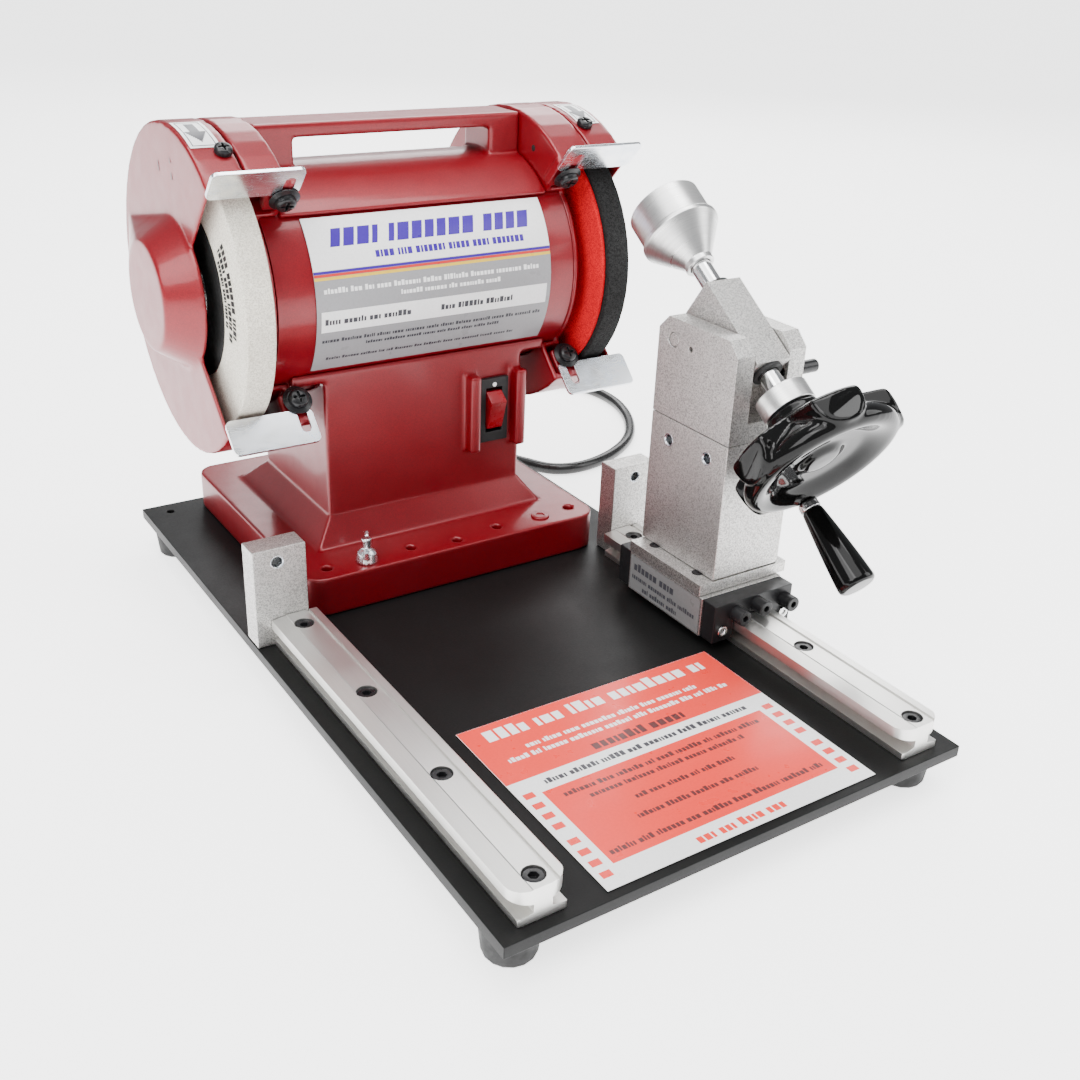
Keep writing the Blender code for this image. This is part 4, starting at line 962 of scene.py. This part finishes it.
LABEL_COLORS = ("white", "orange", "ink", "navy")
label_cells = [
    (42.3, 67.4, 166.9, 104.4, "orange", 0.0),
    (42.3, 3.7, 166.9, 67.2, "white", 0.0),
    (51.7, 13.6, 157.3, 58.0, "orange", 0.02),
]
label_cells += dashes(51, 160, 93.5, 100.5, "white", 21, 0.04)
label_cells += dashes(62, 146, 83.6, 86.4, "white", 22, 0.04)
label_cells += dashes(51, 158, 78.4, 81.2, "white", 23, 0.04)
label_cells += dashes(84, 130, 69.4, 74.4, "ink", 24, 0.04)
label_cells += dashes(56, 154, 61.2, 64.2, "navy", 25, 0.04)
label_cells += dashes(58, 152, 51.5, 54.2, "ink", 26, 0.05)
label_cells += dashes(66, 140, 46.4, 49.0, "ink", 27, 0.05)
label_cells += dashes(80, 128, 37.6, 40.2, "ink", 28, 0.05)
label_cells += dashes(74, 134, 28.2, 30.8, "ink", 29, 0.05)
label_cells += dashes(54, 154, 17.4, 20.2, "ink", 30, 0.05)
label_cells += dashes(84, 126, 6.4, 10.6, "orange", 31, 0.03)
for edge, seed in ((44.4, 32), (159.8, 33)):
    source = random.Random(seed)
    for k in range(8):
        y = 60.0 - k * 6.4 - (3.0 if k > 3 else 0.0)
        label_cells.append((edge, y - 3.2, edge + 4.4, y, "orange", 0.03))
dress("safety_label", "white", 0.0)
sheet_mesh("safety_label_print", label_cells, label_point, LABEL_COLORS, "base", "safety_label")


STICKER_RISE = 0.15


def sticker_point(x, angle, lift):
    """A point on a guard's rim, with its angle taken up from the front of the motor."""
    t = math.radians(angle)
    r = GUARD_RADIUS + STICKER_RISE + lift
    return place(x, WHEEL_Y - r * math.cos(t), WHEEL_Z + r * math.sin(t))


STICKER_COLORS = ("white", "navy")
STICKERS = (("left", 7.0, 19.6, 65.6, 86.0), ("right", 193.4, 204.9, 66.5, 85.5))
BORDER_INSET = 1.3
BORDER_LINE = 0.45
ARROW_ROWS = 9
ARROW_HALF_WIDTH = 4.6
STEM_HALF_WIDTH = 2.0


def arrow_cells(x0, x1, a0, a1):
    """A white sticker with a thin border and an arrow that points down the guard."""
    inset, line = (math.degrees(reach / GUARD_RADIUS) for reach in (BORDER_INSET, BORDER_LINE))
    u0, u1, v0, v1 = x0 + BORDER_INSET, x1 - BORDER_INSET, a0 + inset, a1 - inset
    cells = [
        (x0, a0, x1, a1, "white", 0.0),
        (u0, v0, u1, v0 + line, "navy", INK),
        (u0, v1 - line, u1, v1, "navy", INK),
        (u0, v0, u0 + BORDER_LINE, v1, "navy", INK),
        (u1 - BORDER_LINE, v0, u1, v1, "navy", INK),
    ]
    middle = (x0 + x1) / 2
    for k in range(ARROW_ROWS):
        low = v0 + (v1 - v0) * (0.12 + 0.4 * k / ARROW_ROWS)
        high = v0 + (v1 - v0) * (0.12 + 0.4 * (k + 1) / ARROW_ROWS)
        half = ARROW_HALF_WIDTH * (k + 0.5) / ARROW_ROWS
        cells.append((middle - half, low, middle + half, high, "navy", INK))
    low, high = v0 + (v1 - v0) * 0.52, v1 - (v1 - v0) * 0.1
    cells.append((middle - STEM_HALF_WIDTH, low, middle + STEM_HALF_WIDTH, high, "navy", INK))
    return cells


for side, *edges in STICKERS:
    cells = arrow_cells(*edges)
    node = f"guard_cover_{side}"
    sheet_mesh(f"arrow_sticker_{side}", cells, sticker_point, STICKER_COLORS, "base", node, 4)


CARRIAGE_LABEL_X = 168.95
COVER_DENT_X = 5.25


def carriage_label_point(y, z, lift):
    """A point on the carriage's left side, where print that reads from the left has a negative y."""
    return place(CARRIAGE_LABEL_X - lift, abs(y), z)


def cover_point(y, z, lift):
    return place(COVER_DENT_X - lift, y, z)


# Dark patches on the left cover's upper face are painted shade in its small dents.
DENT_SHADE_PATCHES = ((294.9, 186.0, 1.0, 4.4), (279.1, 190.5, 0.8, 2.2), (278.4, 184.3, 1.0, 2.8))
cells = [(y - w / 2, z - h / 2, y + w / 2, z + h / 2, "ink", 0.0, 0.2) for y, z, w, h in DENT_SHADE_PATCHES]
sheet_mesh("cover_dent_painted_shade", cells, cover_point, ("ink",), "base", "guard_cover_left")

STONE_FACE_X = 12.9
STONE_MARK_RADIUS = 46.0
STONE_MARKS_START = 36.0


def stone_point(u, v, lift):
    """A point on the stone's outer face, u millimetres round it and v out from its axis."""
    t = math.radians(STONE_MARKS_START) - u / STONE_MARK_RADIUS
    return place(STONE_FACE_X - lift, WHEEL_Y - v * math.cos(t), WHEEL_Z + v * math.sin(t))


stone_cells = dashes(0.0, 38.0, 46.4, 50.0, "dark", 51, 0.0, 0.0, True)
stone_cells += dashes(0.0, 42.0, 42.0, 45.4, "dark", 52, 0.0, 0.0, True)
stone_cells += dashes(4.0, 36.0, 38.4, 41.0, "dark", 53, 0.0, 0.0, True)
sheet_mesh("stone_marks", stone_cells, stone_point, ("dark",), "rotor", "grinding_wheel")
# A dark ring on the stone's outer face is painted shade, where the guard cover shades the stone.
shade_ring = ((17.4, 12.85), (36.8, 12.85), (36.8, 12.5), (17.4, 12.5))
lathe("stone_painted_shade_ring", shade_ring, "dark", "rotor", MOTOR, 0.1, 72, closed=True, slot="grinding_wheel")

CARRIAGE_COLORS = ("grey", "navy")
cells = [(112.6, 4.6, 162.8, 21.8, "grey", 0.0)]
cells += dashes(-160.0, -130.0, 15.0, 19.0, "navy", 41, INK)
cells += dashes(-161.0, -115.0, 10.4, 12.8, "navy", 42, INK)
cells += dashes(-153.0, -127.0, 6.2, 8.6, "navy", 43, INK)
sheet_mesh("carriage_label", cells, carriage_label_point, CARRIAGE_COLORS, "carriage", "carriage_body")

dot = ((0, 0), (1.15, 0), (1.0, 0.25), (0, 0.3))
seat = frame_at((141.8, 243.6, 83.6), along((0, -1, 0)))
lathe("switch_mark", dot, "white", "base", seat, 0.05, 32, slot="switch_bezel")


# ---------------------------------------------------------------- mains cord

CORD_DIAMETER = 7.0
CORD_Z = FLOOR_Z + CORD_DIAMETER / 2
CORD_ROUTE = (
    (120.0, 349.2, 50.0),
    (120.0, 361.0, 49.6),
    (121.0, 372.0, 43.0),
    (124.0, 381.0, 29.0),
    (128.0, 388.0, 12.0),
    (135.0, 396.0, -5.0),
    (147.0, 402.0, -14.5),
    (165.0, 404.0, CORD_Z),
    (186.0, 400.0, CORD_Z),
    (206.0, 388.0, CORD_Z),
    (222.0, 371.0, CORD_Z),
    (232.0, 353.0, CORD_Z),
    (240.0, 339.0, CORD_Z),
    (252.0, 332.5, CORD_Z),
    (268.0, 332.5, CORD_Z),
    (286.0, 338.0, CORD_Z),
    (303.0, 347.5, CORD_Z),
    (318.0, 360.5, CORD_Z),
    (331.0, 378.0, CORD_Z),
    (340.5, 397.0, CORD_Z),
    (346.0, 417.0, CORD_Z),
    (346.0, 438.0, CORD_Z),
    (339.0, 459.0, CORD_Z),
    (324.0, 477.0, CORD_Z),
    (303.0, 489.0, CORD_Z),
    (279.0, 494.5, CORD_Z),
    (255.0, 495.5, CORD_Z),
    (231.0, 495.5, CORD_Z),
)
COIL_CENTRE = (205.0, 455.0)
COIL_TURNS = ((40.3, 3.6), (33.3, 3.6), (33.3, 10.7), (36.8, 16.8), (40.4, 10.7))
COIL_START = 82.0
COIL_STEPS = 16
COIL_LEVEL_PART = 0.72
TAIL = (
    (216.0, 497.0, 9.0),
    (204.0, 501.5, 5.5),
    (192.0, 503.4, 4.2),
    (182.0, 503.5, 3.9),
    (176.5, 503.5, 3.9),
)


def cord_points():
    """The cord's route, its coil, whose radius and height ease to the next turn's, and its tail."""
    points = [Vector(p) for p in CORD_ROUTE]
    for i in range(1, len(COIL_TURNS) * COIL_STEPS - 1):
        turns = i / COIL_STEPS
        here = min(int(turns), len(COIL_TURNS) - 1)
        after = min(here + 1, len(COIL_TURNS) - 1)
        part = turns - here
        ease = max(0.0, part - COIL_LEVEL_PART) / (1 - COIL_LEVEL_PART)
        ease = ease * ease * (3 - 2 * ease)
        r = COIL_TURNS[here][0] * (1 - ease) + COIL_TURNS[after][0] * ease
        z = COIL_TURNS[here][1] * (1 - ease) + COIL_TURNS[after][1] * ease
        a = math.radians(COIL_START + 360.0 * turns)
        x, y = COIL_CENTRE[0] + r * math.cos(a), COIL_CENTRE[1] + r * math.sin(a)
        points.append(Vector((x, y, FLOOR_Z + z)))
    points += [Vector((x, y, FLOOR_Z + z)) for x, y, z in TAIL]
    return points


def smooth_line(points, spacing):
    """Points along a smooth curve through these."""
    ends = [points[0] * 2 - points[1], *points, points[-1] * 2 - points[-2]]
    made = []
    for p0, p1, p2, p3 in zip(ends, ends[1:], ends[2:], ends[3:]):
        steps = max(1, round((p2 - p1).length / spacing))
        for i in range(steps):
            t = i / steps
            bend = (2 * p0 - 5 * p1 + 4 * p2 - p3) * t * t + (3 * p1 - p0 - 3 * p2 + p3) * t * t * t
            made.append(p1 + ((p2 - p0) * t + bend) / 2)
    return made + [points[-1]]


def mains_cord():
    line = smooth_line(cord_points(), 3.0)
    curve = bpy.data.curves.new("mains_cord", "CURVE")
    curve.dimensions = "3D"
    curve.bevel_depth = CORD_DIAMETER / 2 * MM
    curve.bevel_resolution = 5
    curve.use_fill_caps = True
    spline = curve.splines.new("POLY")
    spline.points.add(len(line) - 1)
    for target, point in zip(spline.points, line):
        target.co = (*place(*point), 1.0)
    curve.materials.append(MATERIALS["cord"])
    cord = bpy.data.objects.new("mains_cord", curve)
    bpy.context.scene.collection.objects.link(cord)
    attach(cord, "base")
    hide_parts("power_cord", "cord_coil")


mains_cord()

relief = [(0.0, 322.8), (9.0, 322.8), (9.2, 324.2), (8.6, 325.6), (6.8, 326.4)]
for k in range(6):
    near = 327.0 + k * 3.5
    r = 6.4 - k * 0.36
    relief += [(r, near), (r, near + 2.2), (r - 0.9, near + 2.6), (r - 0.9, near + 3.2)]
relief += [(4.2, 348.9), (0.0, 348.9)]
seat = frame_at((120.0, 0, 50.0), along((0, 1, 0)))
links = {"nodes": ("strain_relief",), "slot": "strain_relief"}
lathe("cord_grommet", relief, "rubber", "base", seat, 0.25, 48, **links)


# ---------------------------------------------------------------- floor and light


FLOOR_GLOW = 2.3


def stage():
    bm = bmesh.new()
    bmesh.ops.create_grid(bm, x_segments=1, y_segments=1, size=12.0)
    mesh = bpy.data.meshes.new("floor")
    bm.to_mesh(mesh)
    bm.free()
    floor = bpy.data.objects.new("floor", mesh)
    bpy.context.scene.collection.objects.link(floor)
    paper = Material("backdrop_paper", (0.92, 0.92, 0.92), 0.75)
    cloud = paper.spread(paper.noise(400, 2), 0.4, 0.6)
    paper.color(paper.mix(cloud, (0.91, 0.91, 0.91), (0.93, 0.93, 0.93)))
    paper.shader.inputs["Emission Color"].default_value = (1.0, 1.0, 1.0, 1.0)
    paper.shader.inputs["Emission Strength"].default_value = FLOOR_GLOW
    mesh.materials.append(paper.data)
    floor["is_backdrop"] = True
    world = bpy.data.worlds.new("studio")
    world.use_nodes = True
    background = world.node_tree.nodes["Background"]
    background.inputs["Color"].default_value = (0.95, 0.97, 1.0, 1)
    background.inputs["Strength"].default_value = 0.4
    bpy.context.scene.world = world


def lamp(name, kind, point, target, energy, size=(1.0, 1.0), angle=0.0):
    data = bpy.data.lights.new(name, kind)
    data.energy = energy
    if kind == "AREA":
        data.shape = "RECTANGLE"
        data.size, data.size_y = size
    else:
        data.angle = math.radians(angle)
    obj = bpy.data.objects.new(name, data)
    direction = Vector(target) - Vector(point)
    turn = direction.to_track_quat("-Z", "Y").to_matrix().to_4x4()
    obj.matrix_world = Matrix.Translation(Vector(point)) @ turn
    bpy.context.scene.collection.objects.link(obj)


stage()
lamp("sky", "SUN", (-1, -1, 4), (0, 0, 0), 2.2, angle=50)
lamp("softbox_left", "AREA", (-0.9, -0.35, 0.95), (0, 0, 0.08), 14, (0.7, 0.9))
lamp("softbox_top", "AREA", (0.1, 0.15, 1.25), (0, 0.05, 0.1), 12, (1.2, 0.35))
lamp("softbox_right", "AREA", (0.95, -0.65, 0.75), (0.05, 0, 0.1), 7, (0.6, 0.8))
lamp("softbox_back", "AREA", (0.95, 1.25, 1.05), (0, 0, 0.05), 24, (1.4, 0.9))

low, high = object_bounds()
